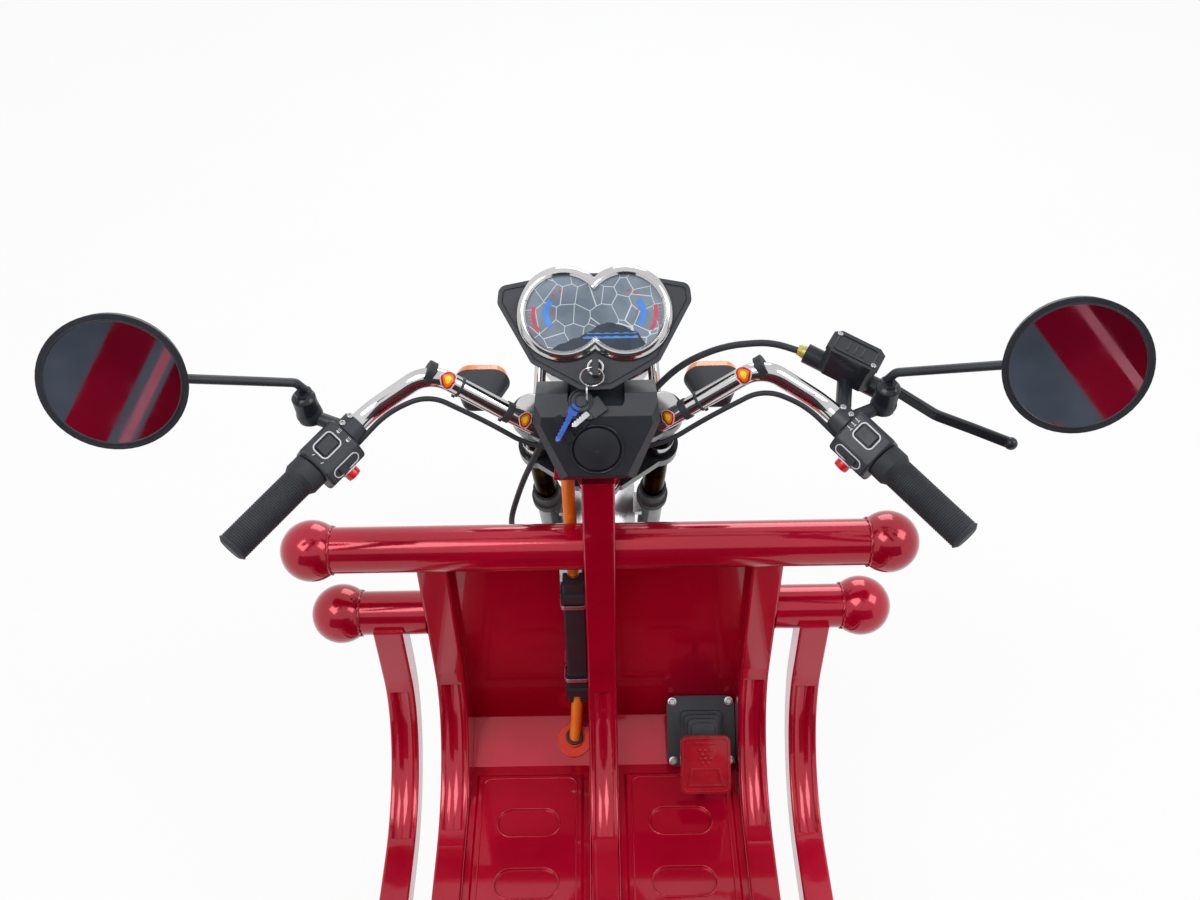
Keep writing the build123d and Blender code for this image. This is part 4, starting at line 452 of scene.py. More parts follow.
# The right dial's arcs: radius and width, start and end in degrees
BLUE_ARC, RED_ARC = (20, 6.5, -42, 44), (34, 4.2, -34, 14)
TICKS, TICK_X, TICK_FROM, TICK_PITCH = 7, 38.2, -16, 4
WARNING_LAMPS = ((13, 2), (12, 22), (4, 25))
# The printed skyline's top, in millimetres from the middle between the dials
SKYLINE = ((-50, -39), (-34, -32), (-11, -23), (3, -14), (13, -10), (28, -13), (47, -22), (56, -34))
SKYLINE_STEPS = 52
# Columns: height and width of each line over the skyline
BAND_LINES = ((-27, 2.4), (-22.5, 1.0))


def skyline_top(x):
    """The skyline's height at a place, with a slight ripple."""
    for (ax, ay), (bx, by) in zip(SKYLINE, SKYLINE[1:]):
        if ax <= x <= bx:
            return ay + (by - ay) * (x - ax) / (bx - ax) + 0.7 * math.sin(x / 2.3)
    return SKYLINE[0][1] if x < SKYLINE[0][0] else SKYLINE[-1][1]


def glass_low(x):
    """The lower edge of the twin glass at a place."""
    return 1.0 - math.sqrt(GLASS_R ** 2 - (abs(x) - RING_X) ** 2)


def instrument():
    """The printed display on the glass: wide arcs, marks, warning lamps and the skyline."""
    low, high = GLASS_TOP, GLASS_TOP + PRINT
    arcs, marks, hills, band = shape(), shape(), shape(), shape()
    for side in (-1, 1):
        center = DIAL @ Matrix.Translation((side * RING_X, 0, 0))
        for (radius, width, start, end), into in ((BLUE_ARC, arcs), (RED_ARC, marks)):
            first = start if side > 0 else 180 - end
            add(into, *arc_band(radius, width, first, first + end - start, low, high), center)
        for tick in range(TICKS):
            spot = moved(rounded(3.2, 0.9, 0.4, 2), side * TICK_X, TICK_FROM + TICK_PITCH * tick)
            add(marks, *plate(spot, low, high), center)
        for x, y in WARNING_LAMPS:
            add(marks, *plate(moved(rounded(3.4, 2.6, 0.9, 3), side * x, y), low, high), center)
    left, right = SKYLINE[0][0], SKYLINE[-1][0]
    across = [left + (right - left) * i / SKYLINE_STEPS for i in range(SKYLINE_STEPS + 1)]
    tops = [(x, max(skyline_top(x), glass_low(x) + 0.4)) for x in across]
    add(hills, *plate([*tops, *reversed([(x, glass_low(x)) for x in across])], low, high), DIAL)
    for level, width in BAND_LINES:
        inside = [x for x in across if skyline_top(x) > level + width and glass_low(x) < level - width]
        upper = [(x, level + width / 2 + 0.5 * math.sin(x / 1.7)) for x in inside]
        lower = [(x, level - width / 2) for x in reversed(inside)]
        add(band, *plate([*upper, *lower], low, high + 0.1), DIAL)
    piece("dial_arcs", arcs, "steering", "clear", "dial_blue")
    piece("dial_marks", marks, "steering", "clear", "dial_red")
    piece("dial_skyline", hills, "steering", "clear", "dial_hill")
    piece("dial_band", band, "steering", "clear", "dial_blue")


# The bar, its switch pods and grips

GRIP_START = bar(258, -14, 985)
GRIP_ALONG = Vector((0.6217, -0.7421, -0.2506))
GRIP_UP, GRIP_SIDE = Vector((0.161, -0.192, 0.968)), Vector((-0.767, -0.642, 0))
POD_TURN = math.radians(40)
POD_OUT = GRIP_UP * math.cos(POD_TURN) + GRIP_SIDE * math.sin(POD_TURN)
POD_WIDE = GRIP_SIDE * math.cos(POD_TURN) - GRIP_UP * math.sin(POD_TURN)
POD_FACE, POD_MIDDLE = 20, 65
FACET_AT, FACET_OUT = (24, 15), (0.581, 0.814)
# Outlines of the pod's window and slider: length, width and corner
WINDOW_OUT, WINDOW_IN, WINDOW_OFF = (29, 22, 6), (26, 19, 4.6), 6
TRACK_OUT, TRACK_IN, TRACK_BED, KNOB = (36, 13, 6.4), (33.6, 10.6, 5.2), (32, 9.4, 4.6), (10, 8, 2.2)
# Profiles of radius and height
HORN_BUTTON = [(8.6, 0), (8.6, 6.5), (7.8, 8.6), (5, 9.6), (0.6, 9.8)]
HORN_RIM = [(9.8, -0.4), (9.8, 1.0), (8.8, 1.2), (8.7, -0.4)]


def pod_frame():
    """The right pod's switch face: X along the bar, Y to its near side."""
    return local_frame(GRIP_START + POD_OUT * POD_FACE, GRIP_ALONG, POD_OUT)


def facet_frame():
    """The right pod's slanted facet, over the slider."""
    wide, out = FACET_AT
    normal = POD_WIDE * FACET_OUT[0] + POD_OUT * FACET_OUT[1]
    return local_frame(GRIP_START + POD_OUT * out + POD_WIDE * wide, GRIP_ALONG, normal)


def across_side(frame_matrix):
    """1 where the local Y of a frame points to the pod's near side, else -1."""
    return 1 if (frame_matrix.to_3x3() @ Vector((0, 1, 0))).dot(POD_WIDE) > 0 else -1


def lamp_icon(x, y):
    """A small headlamp mark: a dome with three rays."""
    turns = [math.radians(-90 + 20 * i) for i in range(10)]
    dome = [(x + 2.2 * math.cos(a), y + 2.2 * math.sin(a)) for a in turns]
    rays = [moved(rounded(2.6, 0.6, 0.2, 2), x - 2.2, y + 1.5 * k) for k in (-1, 0, 1)]
    return [dome, *rays]


def pod_marks(side, sign):
    """Outlines of a pod's printed marks: lamps and arrows on the left, a row of dashes on the right."""
    if side < 0:
        lamps = [outline for w in (-8, 6) for outline in lamp_icon(45, w * sign)]
        return lamps + [moved(rounded(3.4, 0.8, 0.3, 2), 83, w * sign, 30) for w in (-9, 4)]
    dashes = [moved(rounded(4.6, 1.0, 0.4, 2), 44, w * sign) for w in (-12, -6, 0)]
    return dashes + [moved(rounded(1.0, 3.4, 0.4, 2), 47.5, w * sign) for w in (-12, -6, 0)]


def switch_details():
    """White outlines, marks, sliders and red buttons of both pods."""
    prints, sliders, buttons = shape(), shape(), shape()
    face, facet = pod_frame(), facet_frame()
    sign = across_side(face)
    near = GRIP_START + POD_OUT * 6 + POD_WIDE * 31 + GRIP_ALONG * POD_MIDDLE
    button = local_frame(near, GRIP_ALONG, POD_WIDE)
    for side in (1, -1):
        place, slide, push = (m if side > 0 else twin(m) for m in (face, facet, button))
        outer, inner = (moved(rounded(*s), POD_MIDDLE, -WINDOW_OFF * sign) for s in (WINDOW_OUT, WINDOW_IN))
        add(prints, *frame_band(outer, inner, -0.4, 0.5), place)
        for mark in pod_marks(side, sign):
            add(prints, *plate(mark, -0.1, 0.35), place)
        outer, inner, bed = (moved(rounded(*s), POD_MIDDLE, 0) for s in (TRACK_OUT, TRACK_IN, TRACK_BED))
        add(prints, *frame_band(outer, inner, -0.6, 0.8), slide)
        add(sliders, *plate(bed, -0.4, 0.5), slide)
        add(sliders, *plate(moved(rounded(*KNOB), POD_MIDDLE + 6, 0), 0.4, 4.2), slide)
        add(buttons, *turned(HORN_BUTTON, 28), push)
        add(prints, *turned(HORN_RIM, 28), push)
    piece("switch_prints", prints, "steering", "black_plastic", "white_print")
    piece("switch_sliders", sliders, "steering", "black_plastic", "black_plastic", bevel=0.5)
    piece("horn_buttons", buttons, "steering", "red_rubber", "horn_red")


GRIP_FROM, GRIP_TO, GRIP_R = 112, 209, 17
RIB_PITCH, RIB_HIGH = 2.6, 0.75


def grip_ribs():
    """Fine rings round the grips."""
    profile = []
    for rib in range(int((GRIP_TO - GRIP_FROM) / RIB_PITCH)):
        at = GRIP_FROM + rib * RIB_PITCH
        profile += [(GRIP_R, at), (GRIP_R + RIB_HIGH, at + RIB_PITCH * 0.25),
                    (GRIP_R + RIB_HIGH, at + RIB_PITCH * 0.65), (GRIP_R, at + RIB_PITCH * 0.9)]
    place = local_frame(GRIP_START, GRIP_UP, GRIP_ALONG)
    built = shape()
    for matrix in (place, twin(place)):
        add(built, *turned(profile, 40), matrix)
    piece("grip_rings", built, "steering", "rubber")


BAR_R = 11
BAR_FOOT, BAR_PEAK = bar(66, -2, 945), bar(186, 2, 1030)
# Columns: share of the rise from the foot to the peak, flame length, half width as an angle
FLAMES = ((0.17, 17, 62), (0.86, 21, 70))
# Columns: finish, share of the flame's size, lift over the bar
FLAME_LAYERS = (("white_print", 1.0, 0.25), ("flame_red", 0.86, 0.35), ("flame_orange", 0.62, 0.45),
                ("flame_yellow", 0.36, 0.55))
FLAME_FACING, TAPE_AFTER = (0, -0.62, 0.78), 15
# Profiles of radius and height
TAPE = [(BAR_R, 0), (BAR_R + 1.3, 0.3), (BAR_R + 1.3, 8.7), (BAR_R, 9)]
FOOT_SLEEVE = [(BAR_R, -4), (BAR_R + 0.6, -3.5), (BAR_R + 0.6, 7.5), (BAR_R, 8)]


def bar_run(side):
    """The foot and peak of one side's rise of the bar, and its direction."""
    foot, peak = on_side(BAR_FOOT, side), on_side(BAR_PEAK, side)
    return foot, peak, (peak - foot).normalized()


def bar_patch(middle, length, half_angle, lift, facing, along):
    """A teardrop wrapped on the bar."""
    other = along.cross(facing)
    rows, cols = 14, 8
    points, faces = [], []
    for row in range(rows + 1):
        t = row / rows
        half = half_angle * math.sin(math.pi * min(1, t ** 0.62)) ** 0.8
        spot = middle + along * (length * (t - 0.5))
        for col in range(cols + 1):
            angle = math.radians(half * (2 * col / cols - 1))
            points.append(spot + (facing * math.cos(angle) + other * math.sin(angle)) * (BAR_R + lift))
    for row in range(rows):
        for col in range(cols):
            a = row * (cols + 1) + col
            faces.append((a, a + 1, a + cols + 2, a + cols + 1))
    return [p * MM for p in points], faces


def flame_bands():
    """Flame drops on the bar, each beside a black tape band."""
    layers = {name: shape() for name, size, lift in FLAME_LAYERS}
    bands = shape()
    for side in (-1, 1):
        foot, peak, along = bar_run(side)
        facing = Vector(FLAME_FACING)
        facing = (facing - along * facing.dot(along)).normalized()
        for share, length, half in FLAMES:
            spot = foot.lerp(peak, share)
            for name, size, lift in FLAME_LAYERS:
                add(layers[name], *bar_patch(spot, length * size, half * size, lift, facing, along))
            add(bands, *turned(TAPE, 32), local_frame(spot + along * TAPE_AFTER, facing, along))
        add(bands, *turned(FOOT_SLEEVE, 32), local_frame(foot, facing, along))
    for name in layers:
        piece("bar_" + name, layers[name], "steering", "chrome", name)
    piece("bar_bands", bands, "steering", "rubber", "rubber")


# Brake master, perches and mirrors

MASTER_UP = Vector((0.2083, -0.1089, 0.9719))
MASTER = local_frame(bar(290, 39, 988), (-0.4634, -0.8862, 0), MASTER_UP)
LID_TOP = 37
# Profiles of radius and height
LID_SCREW = [(3.4, -0.3), (3.4, 1.2), (2.9, 1.9), (1.6, 1.9), (1.4, 0.9)]
PERCH_SCREW = [(3.6, -1.5), (3.6, 2.2), (3.0, 2.8), (1.8, 2.8), (1.6, 1.2)]
BANJO_WASHERS = [(9, -1), (9, 0.6), (7.6, 1), (7.6, 3)]


def master_details():
    """Lid frame, lid screws, banjo bolt with its washers, and the perch clamp bolts."""
    raised, screws, zinc = shape(), shape(), shape()
    base = LID_TOP - 0.5
    add(raised, *frame_band(rounded(31, 50, 6), rounded(27, 46, 4.4), base, LID_TOP + 1.0), MASTER)
    for line in (-9, 0, 9):
        add(raised, *plate(moved(rounded(17, 2.2, 1.0, 3), 0, line), base, LID_TOP + 0.8), MASTER)
    for x, y in ((-13, -25), (13, 25)):
        add(screws, *turned(LID_SCREW, 20), MASTER @ Matrix.Translation((x, y, LID_TOP)))
    banjo = local_frame(bar(246, 62, 1000), UP, (-0.861, 0.45, 0.235))
    add(zinc, *turned(BANJO_WASHERS, 28), banjo)
    add(zinc, *hex_bolt(12, 7, 15), banjo @ Matrix.Translation((0, 0, 3)))
    for along in (22, 34):
        for side in (1, -1):
            spot = on_side(GRIP_START + GRIP_ALONG * along + GRIP_UP * 17, side)
            add(screws, *turned(PERCH_SCREW, 20), local_frame(spot, RIGHT, GRIP_UP))
    piece("master_lid_marks", raised, "steering", "black_steel", bevel=0.4)
    piece("control_screws", screws, "steering", "steel")
    piece("banjo_bolt", zinc, "steering", "steel", "zinc")


def lever_pivot():
    """The lever's pivot bolt from above and its nut from below."""
    built = shape()
    add(built, *hex_bolt(9, 5, 13), local_frame(bar(334, 16, 985), RIGHT, MASTER_UP))
    add(built, *hex_bolt(7, 4, 10), local_frame(bar(332, 17, 967), RIGHT, -MASTER_UP))
    piece("lever_pivot_bolt", built, "steering", "steel")


MIRROR = local_frame(bar(467, -135, 1130), (0.9781, -0.2079, 0), (-0.1977, -0.9303, 0.309))
PANE_R = 64
# Profiles of radius and height
GLASS_STEP = [(PANE_R + 0.6, 0.1), (PANE_R + 0.2, 0.9), (PANE_R - 1.0, 0.9), (PANE_R - 1.6, 0.1)]
STEM_NUT = [(8.6, 0), (8.6, 6), (7.8, 7)]
STEM_BOOT = [(14.6, -32), (14.6, -29), (13.4, -27), (13.4, -2), (11, 1), (6, 3)]


def mirror_trim():
    """A fine step round each mirror's glass and the lock nut on its boot."""
    rims, nuts = shape(), shape()
    for matrix in (MIRROR, twin(MIRROR)):
        points, faces = turned(GLASS_STEP, 72)
        add(rims, points, faces[:-2], matrix)
    for side in (1, -1):
        place = local_frame(bar(side * 324, -25, 1019), RIGHT, (0.01 * side, -0.2, 1))
        add(nuts, *turned(STEM_NUT, 6), place)
        add(nuts, *turned(STEM_BOOT, 32), place)
    piece("mirror_glass_rims", rims, "steering", "black_plastic")
    piece("mirror_lock_nuts", nuts, "steering", "black_steel")


# Keys on their ring

BROW = local_frame(bar(0, -34, 990), RIGHT, (0, -0.588, 0.809))
COVER = local_frame(bar(0, -60, 912), RIGHT, (0, -0.949, 0.316))
KEY_WIDTH, TOOTH = 6.4, 1.4
LOCK_OUT, LOCK_IN = (18.6, 18.6, 9.2, 9), (14, 14, 6.9, 9)


def key_blade(x, y, length, angle, teeth):
    """A key's blade with its cut teeth."""
    half = KEY_WIDTH / 2
    outline = [(-half, 0), (half, 0)]
    for tooth in range(teeth):
        at = length * (0.28 + 0.62 * tooth / teeth)
        outline += [(half, at), (half - TOOTH, at + TOOTH), (half, at + 2 * TOOTH)]
    outline += [(half - 1, length - 2), (0, length), (-half, length - 3)]
    return moved(outline, x, y, angle)


def button_rim():
    """The raised glossy rim round the cover's button."""
    built = add(shape(), *wire_loop(COVER @ Matrix.Translation((0, 42, 0.2)), 29.6, 1.5, 72))
    piece("cover_button_rim", built, "steering", "black_steel", smooth=80)


def keys():
    """Coloured blades, the lock's ring, the wire rings and the embossed fob."""
    blue, silver, black = shape(), shape(), shape()
    add(blue, *plate(key_blade(-27, 4, 38, 152, 5), 2.2, 5.2), BROW)
    add(blue, *plate(moved(rounded(12, 15, 4), -25, 7, -28), 2.0, 5.4), BROW)
    add(silver, *plate(key_blade(-9, 3, 24, 130, 4), 2.2, 5.0), BROW)
    lock = DIAL @ Matrix.Translation((0, -60, 0))
    add(silver, *frame_band(rounded(*LOCK_OUT), rounded(*LOCK_IN), 1, 5), lock)
    add(silver, *wire_loop(local_frame(bar(-4, -22, 1037), RIGHT, (0, -1, 0)), 13, 1.1))
    add(silver, *wire_loop(local_frame(bar(-10, -22, 1016), AHEAD, RIGHT), 11, 1.1))
    fob = BROW @ Matrix.Translation((-17, 17, 6))
    add(black, *wire_loop(fob, 12.4, 1.0, steps=8))
    add(black, *wire_loop(fob, 7, 0.7, steps=8))
    piece("blue_key", blue, "steering", "black_plastic", "key_blue", bevel=0.4)
    piece("lock_and_rings", silver, "steering", "chrome")
    piece("fob_rings", black, "steering", "black_plastic")


# Cords, clips and the conduit

CONDUIT_ROUTE = [bar(*p) for p in ((-36.4, -3, 881), (-39, 40, 806), (-37, 40, 708), (-35.5, -2, 668),
                                   (-35.5, -2, 404), (-44, -25, 339))]
CONDUIT_R, CONDUIT_PITCH, CONDUIT_DEPTH = 8.5, 4.4, 1.7
RIB_STEPS = 4
# Columns: side, share of the rise from the bar's foot to its peak
TIES = ((1, 0.42), (1, 0.97), (-1, 0.3), (-1, 0.72))
TIE_BAND = [(BAR_R, 0), (BAR_R + 1.2, 0.3), (BAR_R + 1.2, 3.3), (BAR_R, 3.6)]


def ribbed_conduit():
    """The corrugated conduit along its route, half crest and half valley."""
    spots = evenly(route_points(CONDUIT_ROUTE), CONDUIT_PITCH / RIB_STEPS * MM)
    line = [p / MM for p in spots]
    radii = [CONDUIT_R - (0 if i % RIB_STEPS < RIB_STEPS / 2 else CONDUIT_DEPTH) for i in range(len(line))]
    points, faces = tube(line, radii, 20)
    built = add(shape(), [p * MM for p in points], faces)
    made = piece("ribbed_conduit", built, "chassis", "orange_plastic", smooth=60)
    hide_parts("wiring_conduit")


def sleeve_clips():
    """Bright clips round the conduit's sleeve, and ties round the bar."""
    low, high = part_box("conduit_sleeve")
    low, high = Vector(low) / MM, Vector(high) / MM
    middle, size = (low + high) / 2, high - low
    clips, ties = shape(), shape()
    for share in (0.22, 0.84):
        outer, inner = rounded(size.x + 2.4, size.y + 2.4, 6), rounded(size.x + 0.2, size.y + 0.2, 5)
        place = local_frame(Vector((middle.x, middle.y, low.z + size.z * share)), RIGHT, UP)
        add(clips, *frame_band(outer, inner, -3.5, 3.5), place)
    for side, share in TIES:
        foot, peak, along = bar_run(side)
        place = local_frame(foot.lerp(peak, share), (0, 0, -1), along)
        add(ties, *turned(TIE_BAND, 28), place)
        add(ties, *plate(moved(rounded(6, 5, 1), BAR_R + 2.5, 0), 0, 3.6), place)
    piece("sleeve_clips", clips, "chassis", "steel")
    piece("cable_ties", ties, "steering", "rubber", "black_plastic")


# The pedal

PEDAL_PAD = local_frame(bar(145, -106, 395), RIGHT, (0, -1, 1))
PEDAL_LEAN = math.radians(41)
PEDAL_BASE = local_frame(bar(145, -31, 368), RIGHT, (0, -math.sin(PEDAL_LEAN), math.cos(PEDAL_LEAN)))
PAD_DOT = [(2.4, -0.5), (2.2, 1.4), (1.4, 2.0)]


def pedal_details():
    """Four bolts on the base plate, and the pad's raised bar, dots and frame."""
    bolts, raised = shape(), shape()
    for x in (-42, 42):
        for y in (-43, 43):
            add(bolts, *hex_bolt(8, 5, 13), PEDAL_BASE @ Matrix.Translation((x, y, 0)))
    add(raised, *plate(moved(rounded(30, 4.4, 2), 0, 31), -0.5, 2.0), PEDAL_PAD)
    for row in range(4):
        for col in (-1, 0, 1) if row % 2 == 0 else (-0.5, 0.5):
            place = PEDAL_PAD @ Matrix.Translation((col * 8, 21 - 6 * row, 0))
            add(raised, *turned(PAD_DOT, 14), place)
    outer = [(-20, -4), (20, -4), (27, -30), (-27, -30)]
    inner = [(-16.4, -7), (16.4, -7), (22.2, -27), (-22.2, -27)]
    add(raised, *frame_band(outer, inner, -0.5, 2.0), PEDAL_PAD)
    add(raised, *frame_band(rounded(67, 77, 7.5), rounded(62, 72, 5.6), -0.5, 1.4), PEDAL_PAD)
    piece("pedal_bolts", bolts, "chassis", "steel")
    piece("pedal_pad_marks", raised, "chassis", "red_rubber", bevel=0.5)


# The floor's beads and flanges

PLATEAU_TOP = 330
PANEL_X, PANEL_BACK, PLATEAU_AHEAD = (21, 196), 395.1, -75
OVAL_SIZE, OVAL_FIRST, OVAL_PITCH, OVALS = (87, 42), -154, 91, 4
BEAD_R = 1.3
FLANGE, SEAM = 0.9, 0.05
# The flange's side view, as far ahead and high as the panel and the rail's bend
FLANGE_SIDE = ((PANEL_BACK, 322), (821, 322), (881, 349), (881, 711), (873, 711), (872, 560), (852, 450),
               (806, 378), (740, 334), (PANEL_BACK, 327))


def floor_beads():
    """Pressed beads round the floor's plateaus and oval dimples."""
    built = shape()
    middle_x, width = sum(PANEL_X) / 2, PANEL_X[1] - PANEL_X[0]
    ahead, back = BAR_Y + PLATEAU_AHEAD - 8, PANEL_BACK + 17
    long, wide = OVAL_SIZE
    loops = [((ahead + back) / 2, rounded(width - 38, ahead - back, 12, 6))]
    loops += [(BAR_Y + OVAL_FIRST - count * OVAL_PITCH, rounded(long + 2, wide + 2, wide / 2, 10))
              for count in range(OVALS)]
    for middle_y, loop in loops:
        for side in (1, -1):
            path = [on_side(Vector((middle_x + x, middle_y + y, PLATEAU_TOP)), side) * MM for x, y in loop]
            add(built, *tube(path, BEAD_R * MM, 10, closed=True))
    piece("floor_beads", built, "chassis", "red_paint", smooth=80)


def floor_flanges():
    """The thin upturned edges that close the panels' seams with the rails and the column."""
    built = shape()
    for x in (PANEL_X[0] - SEAM - FLANGE, PANEL_X[1] + SEAM):
        place = local_frame(Vector((x, 0, 0)), AHEAD, RIGHT)
        for matrix in (place, twin(place)):
            add(built, *plate(FLANGE_SIDE, 0, FLANGE), matrix)
    piece("floor_flanges", built, "chassis", "red_paint")


def grommet_hole_shade():
    """A black ring filling the gap between the conduit and the grommet's hole: painted shade for the dark
    gap.
    """
    place = local_frame(bar(-43.5, -24.5, 349), RIGHT, (0, -0.29, 0.957))
    piece("grommet_hole_shade", add(shape(), *wire_loop(place, 10.8, 2.3)), "chassis", "black_plastic", smooth=80)


# Weld beads, wheel nuts and tyres

# Columns: half width of the bar to its ball, height, ahead of the guard bar, ball and bar radius
BARS = ((370, 741, 0, 40, 30), (355, 604, 9, 40.5, 30))
WELD_R, WELD_STEPS = 1.9, 96


def weld_beads():
    """A rippled weld where each ball meets its bar."""
    built = shape()
    radii = [(WELD_R + 0.35 * math.sin(i * 1.05)) * MM for i in range(WELD_STEPS)]
    for half, z, ahead, ball, radius in BARS:
        meet = half - math.sqrt(ball ** 2 - radius ** 2)
        circle = circle_path(radius + 0.5, WELD_STEPS)
        ripples = [Vector((p.x, p.y, 0.5 * math.sin(i * 1.3))) for i, p in enumerate(circle)]
        for side in (-1, 1):
            place = local_frame(bar(side * meet, ahead, z), UP, RIGHT)
            add(built, *tube([place @ p for p in ripples], radii, 8, closed=True))
    piece("bar_welds", built, "chassis", "red_paint", smooth=80)


# Columns: body, tyre node, side of the hub's outer end
WHEELS = (("front_wheel", "front_tyre", 1), ("rear_wheel_left", "rear_tyre_left", -1),
          ("rear_wheel_right", "rear_tyre_right", 1))
HUB_HALF, NUT_RING, NUTS = 45, 29, 5


def wheel_nuts():
    """Nuts round each hub's outer end."""
    for body, node, side in WHEELS:
        built = shape()
        for nut in range(NUTS):
            angle = math.tau * nut / NUTS
            out = Vector((side * HUB_HALF, NUT_RING * math.cos(angle), NUT_RING * math.sin(angle)))
            add(built, *hex_bolt(12, 8, 18), local_frame(node_middle(node) + out, UP, (side, 0, 0)))
        piece(body + "_nuts", built, body, "steel")


TYRE_R, TYRE_HALF, SHOULDER_X, SHOULDER_DROP, BULGE_R = 255, 49, 42, 14, 206
SEAT_X, FLANGE_R = 33, 163
TREAD_DEPTH, LUGS, LUG_STEPS = 5.0, 36, 8
RING_GROOVE, LUG_EDGE = (16, 21), 20
# Raised rings of the sidewall: radius and height, with one width for both
SIDE_RINGS, RING_SPREAD = ((226, 1.2), (180, 0.9)), 1.6


def arc_through(a, b, c, count):
    """Points on the arc through three points of a plane."""
    (ax, ay), (bx, by), (cx, cy) = a, b, c
    d = 2 * (ax * (by - cy) + bx * (cy - ay) + cx * (ay - by))
    a2, b2, c2 = ax ** 2 + ay ** 2, bx ** 2 + by ** 2, cx ** 2 + cy ** 2
    ux = (a2 * (by - cy) + b2 * (cy - ay) + c2 * (ay - by)) / d
    uy = (a2 * (cx - bx) + b2 * (ax - cx) + c2 * (bx - ax)) / d
    radius = math.hypot(ax - ux, ay - uy)
    start, end = math.atan2(ay - uy, ax - ux), math.atan2(cy - uy, cx - ux)
    middle = math.atan2(by - uy, bx - ux)
    if not min(start, end) < middle < max(start, end):
        end += math.tau if end < start else -math.tau
    return [(ux + radius * math.cos(start + (end - start) * i / count),
             uy + radius * math.sin(start + (end - start) * i / count)) for i in range(count + 1)]


def tread_drop(x, step):
    """How deep the tread is cut at a place: two rings and slanted cross grooves between lugs."""
    if abs(x) > SHOULDER_X + 0.5:
        return 0.0
    if RING_GROOVE[0] < abs(x) < RING_GROOVE[1]:
        return TREAD_DEPTH
    shift = (abs(x) / 10 if abs(x) > 18 else x / 8) + (0 if x > 0 else LUG_STEPS / 2)
    place = (step + shift) % LUG_STEPS
    limit = 2.0 if abs(x) > LUG_EDGE else 1.2
    return TREAD_DEPTH * (0.9 if place < limit else 0.0)


def treaded_tyre(body, node):
    """A tyre with lugs, in the place of the plain one."""
    shoulder = TYRE_R - SHOULDER_DROP
    side = arc_through((SEAT_X, FLANGE_R), (TYRE_HALF, BULGE_R), (SHOULDER_X, shoulder), 10)
    crown = arc_through((SHOULDER_X, shoulder), (0, TYRE_R), (-SHOULDER_X, shoulder), 34)
    outline = [(SEAT_X - 3, FLANGE_R - 9), *side, *crown[1:-1], *[(-x, r) for x, r in reversed(side)],
               (3 - SEAT_X, FLANGE_R - 9)]
    middle = node_middle(node)
    around, count = LUGS * LUG_STEPS, len(outline)
    points, faces = [], []
    for step in range(around):
        angle = math.tau * step / around
        for x, r in outline:
            out = r - (tread_drop(x, step) if r > shoulder - 1 else 0.0)
            rise = sum(high * math.exp(-((r - at) / RING_SPREAD) ** 2) for at, high in SIDE_RINGS)
            spot = Vector((x + math.copysign(rise, x), out * math.cos(angle), out * math.sin(angle)))
            points.append((middle + spot) * MM)
    for step in range(around):
        a, b = step * count, (step + 1) % around * count
        faces += [(a + i, a + i + 1, b + i + 1, b + i) for i in range(count - 1)]
        faces.append((a + count - 1, a, b, b + count - 1))
    made = piece(body + "_tyre", (points, faces), body, "tyre", smooth=28)
    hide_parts(node)


# The seat

CUSHION_INSET, CUSHION_CAP, PAD_CORNER = 9.0, 13.0, 24
PAD_VOXEL, PAD_PRESSURE, PAD_FRAMES = 6, 4, 20
CHANNEL_WIDTH, CHANNEL_DEPTH = 5.0, 4.5
PIPING_R, PIPING_IN, PIPING_CORNER = 3.0, 22, 50


def rounded_block(name, low, high, corner):
    """A block with wide round edges."""
    work = bmesh.new()
    bmesh.ops.create_cube(work, size=1)
    size, middle = high - low, (high + low) / 2
    for vertex in work.verts:
        vertex.co = Vector(vertex.co[i] * size[i] + middle[i] for i in range(3))
    bmesh.ops.bevel(work, geom=list(work.edges), offset=corner * MM, segments=4, profile=0.6,
                    affect="EDGES")
    mesh = bpy.data.meshes.new(name)
    work.to_mesh(mesh)
    work.free()
    return placed(name, mesh)


def inflate(made):
    """Swells a block into a pad by a short cloth simulation."""
    bpy.context.view_layer.objects.active = made
    remesh = made.modifiers.new("even", "REMESH")
    remesh.mode = "VOXEL"
    remesh.voxel_size = PAD_VOXEL * MM
    bpy.ops.object.modifier_apply(modifier=remesh.name)
    before = [vertex.co.copy() for vertex in made.data.vertices]
    cloth = made.modifiers.new("cloth", "CLOTH")
    cloth.settings.use_pressure = True
    cloth.settings.uniform_pressure_force = PAD_PRESSURE
    cloth.settings.effector_weights.gravity = 0
    for step in range(1, PAD_FRAMES + 1):
        bpy.context.scene.frame_set(step)
    bpy.ops.object.modifier_apply(modifier=cloth.name)
    bpy.context.scene.frame_set(1)
    for vertex, start in zip(made.data.vertices, before):
        move = vertex.co - start
        if move.length > CUSHION_CAP * MM:
            vertex.co = start + move.normalized() * CUSHION_CAP * MM


def sew(made, lines, flat_axis):
    """Presses sewn channels into the pad's face, square to X."""
    for vertex in made.data.vertices:
        for line in lines:
            away = (vertex.co.x / MM - line) / CHANNEL_WIDTH
            if abs(away) < 3 and vertex.normal[flat_axis] > 0.3:
                vertex.co[flat_axis] -= CHANNEL_DEPTH * MM * math.exp(-away ** 2)


def finish_pad(made, node, outline):
    """Piping round the pad, its cover material, and the solid that it stands for."""
    softer = made.modifiers.new("softer", "SUBSURF")
    softer.levels = softer.render_levels = 1
    for face in made.data.polygons:
        face.use_smooth = True
    made.data.materials.append(MATERIALS["seat_cover"])
    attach(made, "chassis")
    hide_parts(node)
    found = [made.closest_point_on_mesh(point * MM) for point in outline]
    path = [spot for hit, spot, *_ in found if hit]
    built = add(shape(), *tube(path, PIPING_R * MM, 8, closed=True))
    piece(made.name + "_piping", built, "chassis", "seat_cover", "rubber", smooth=80)


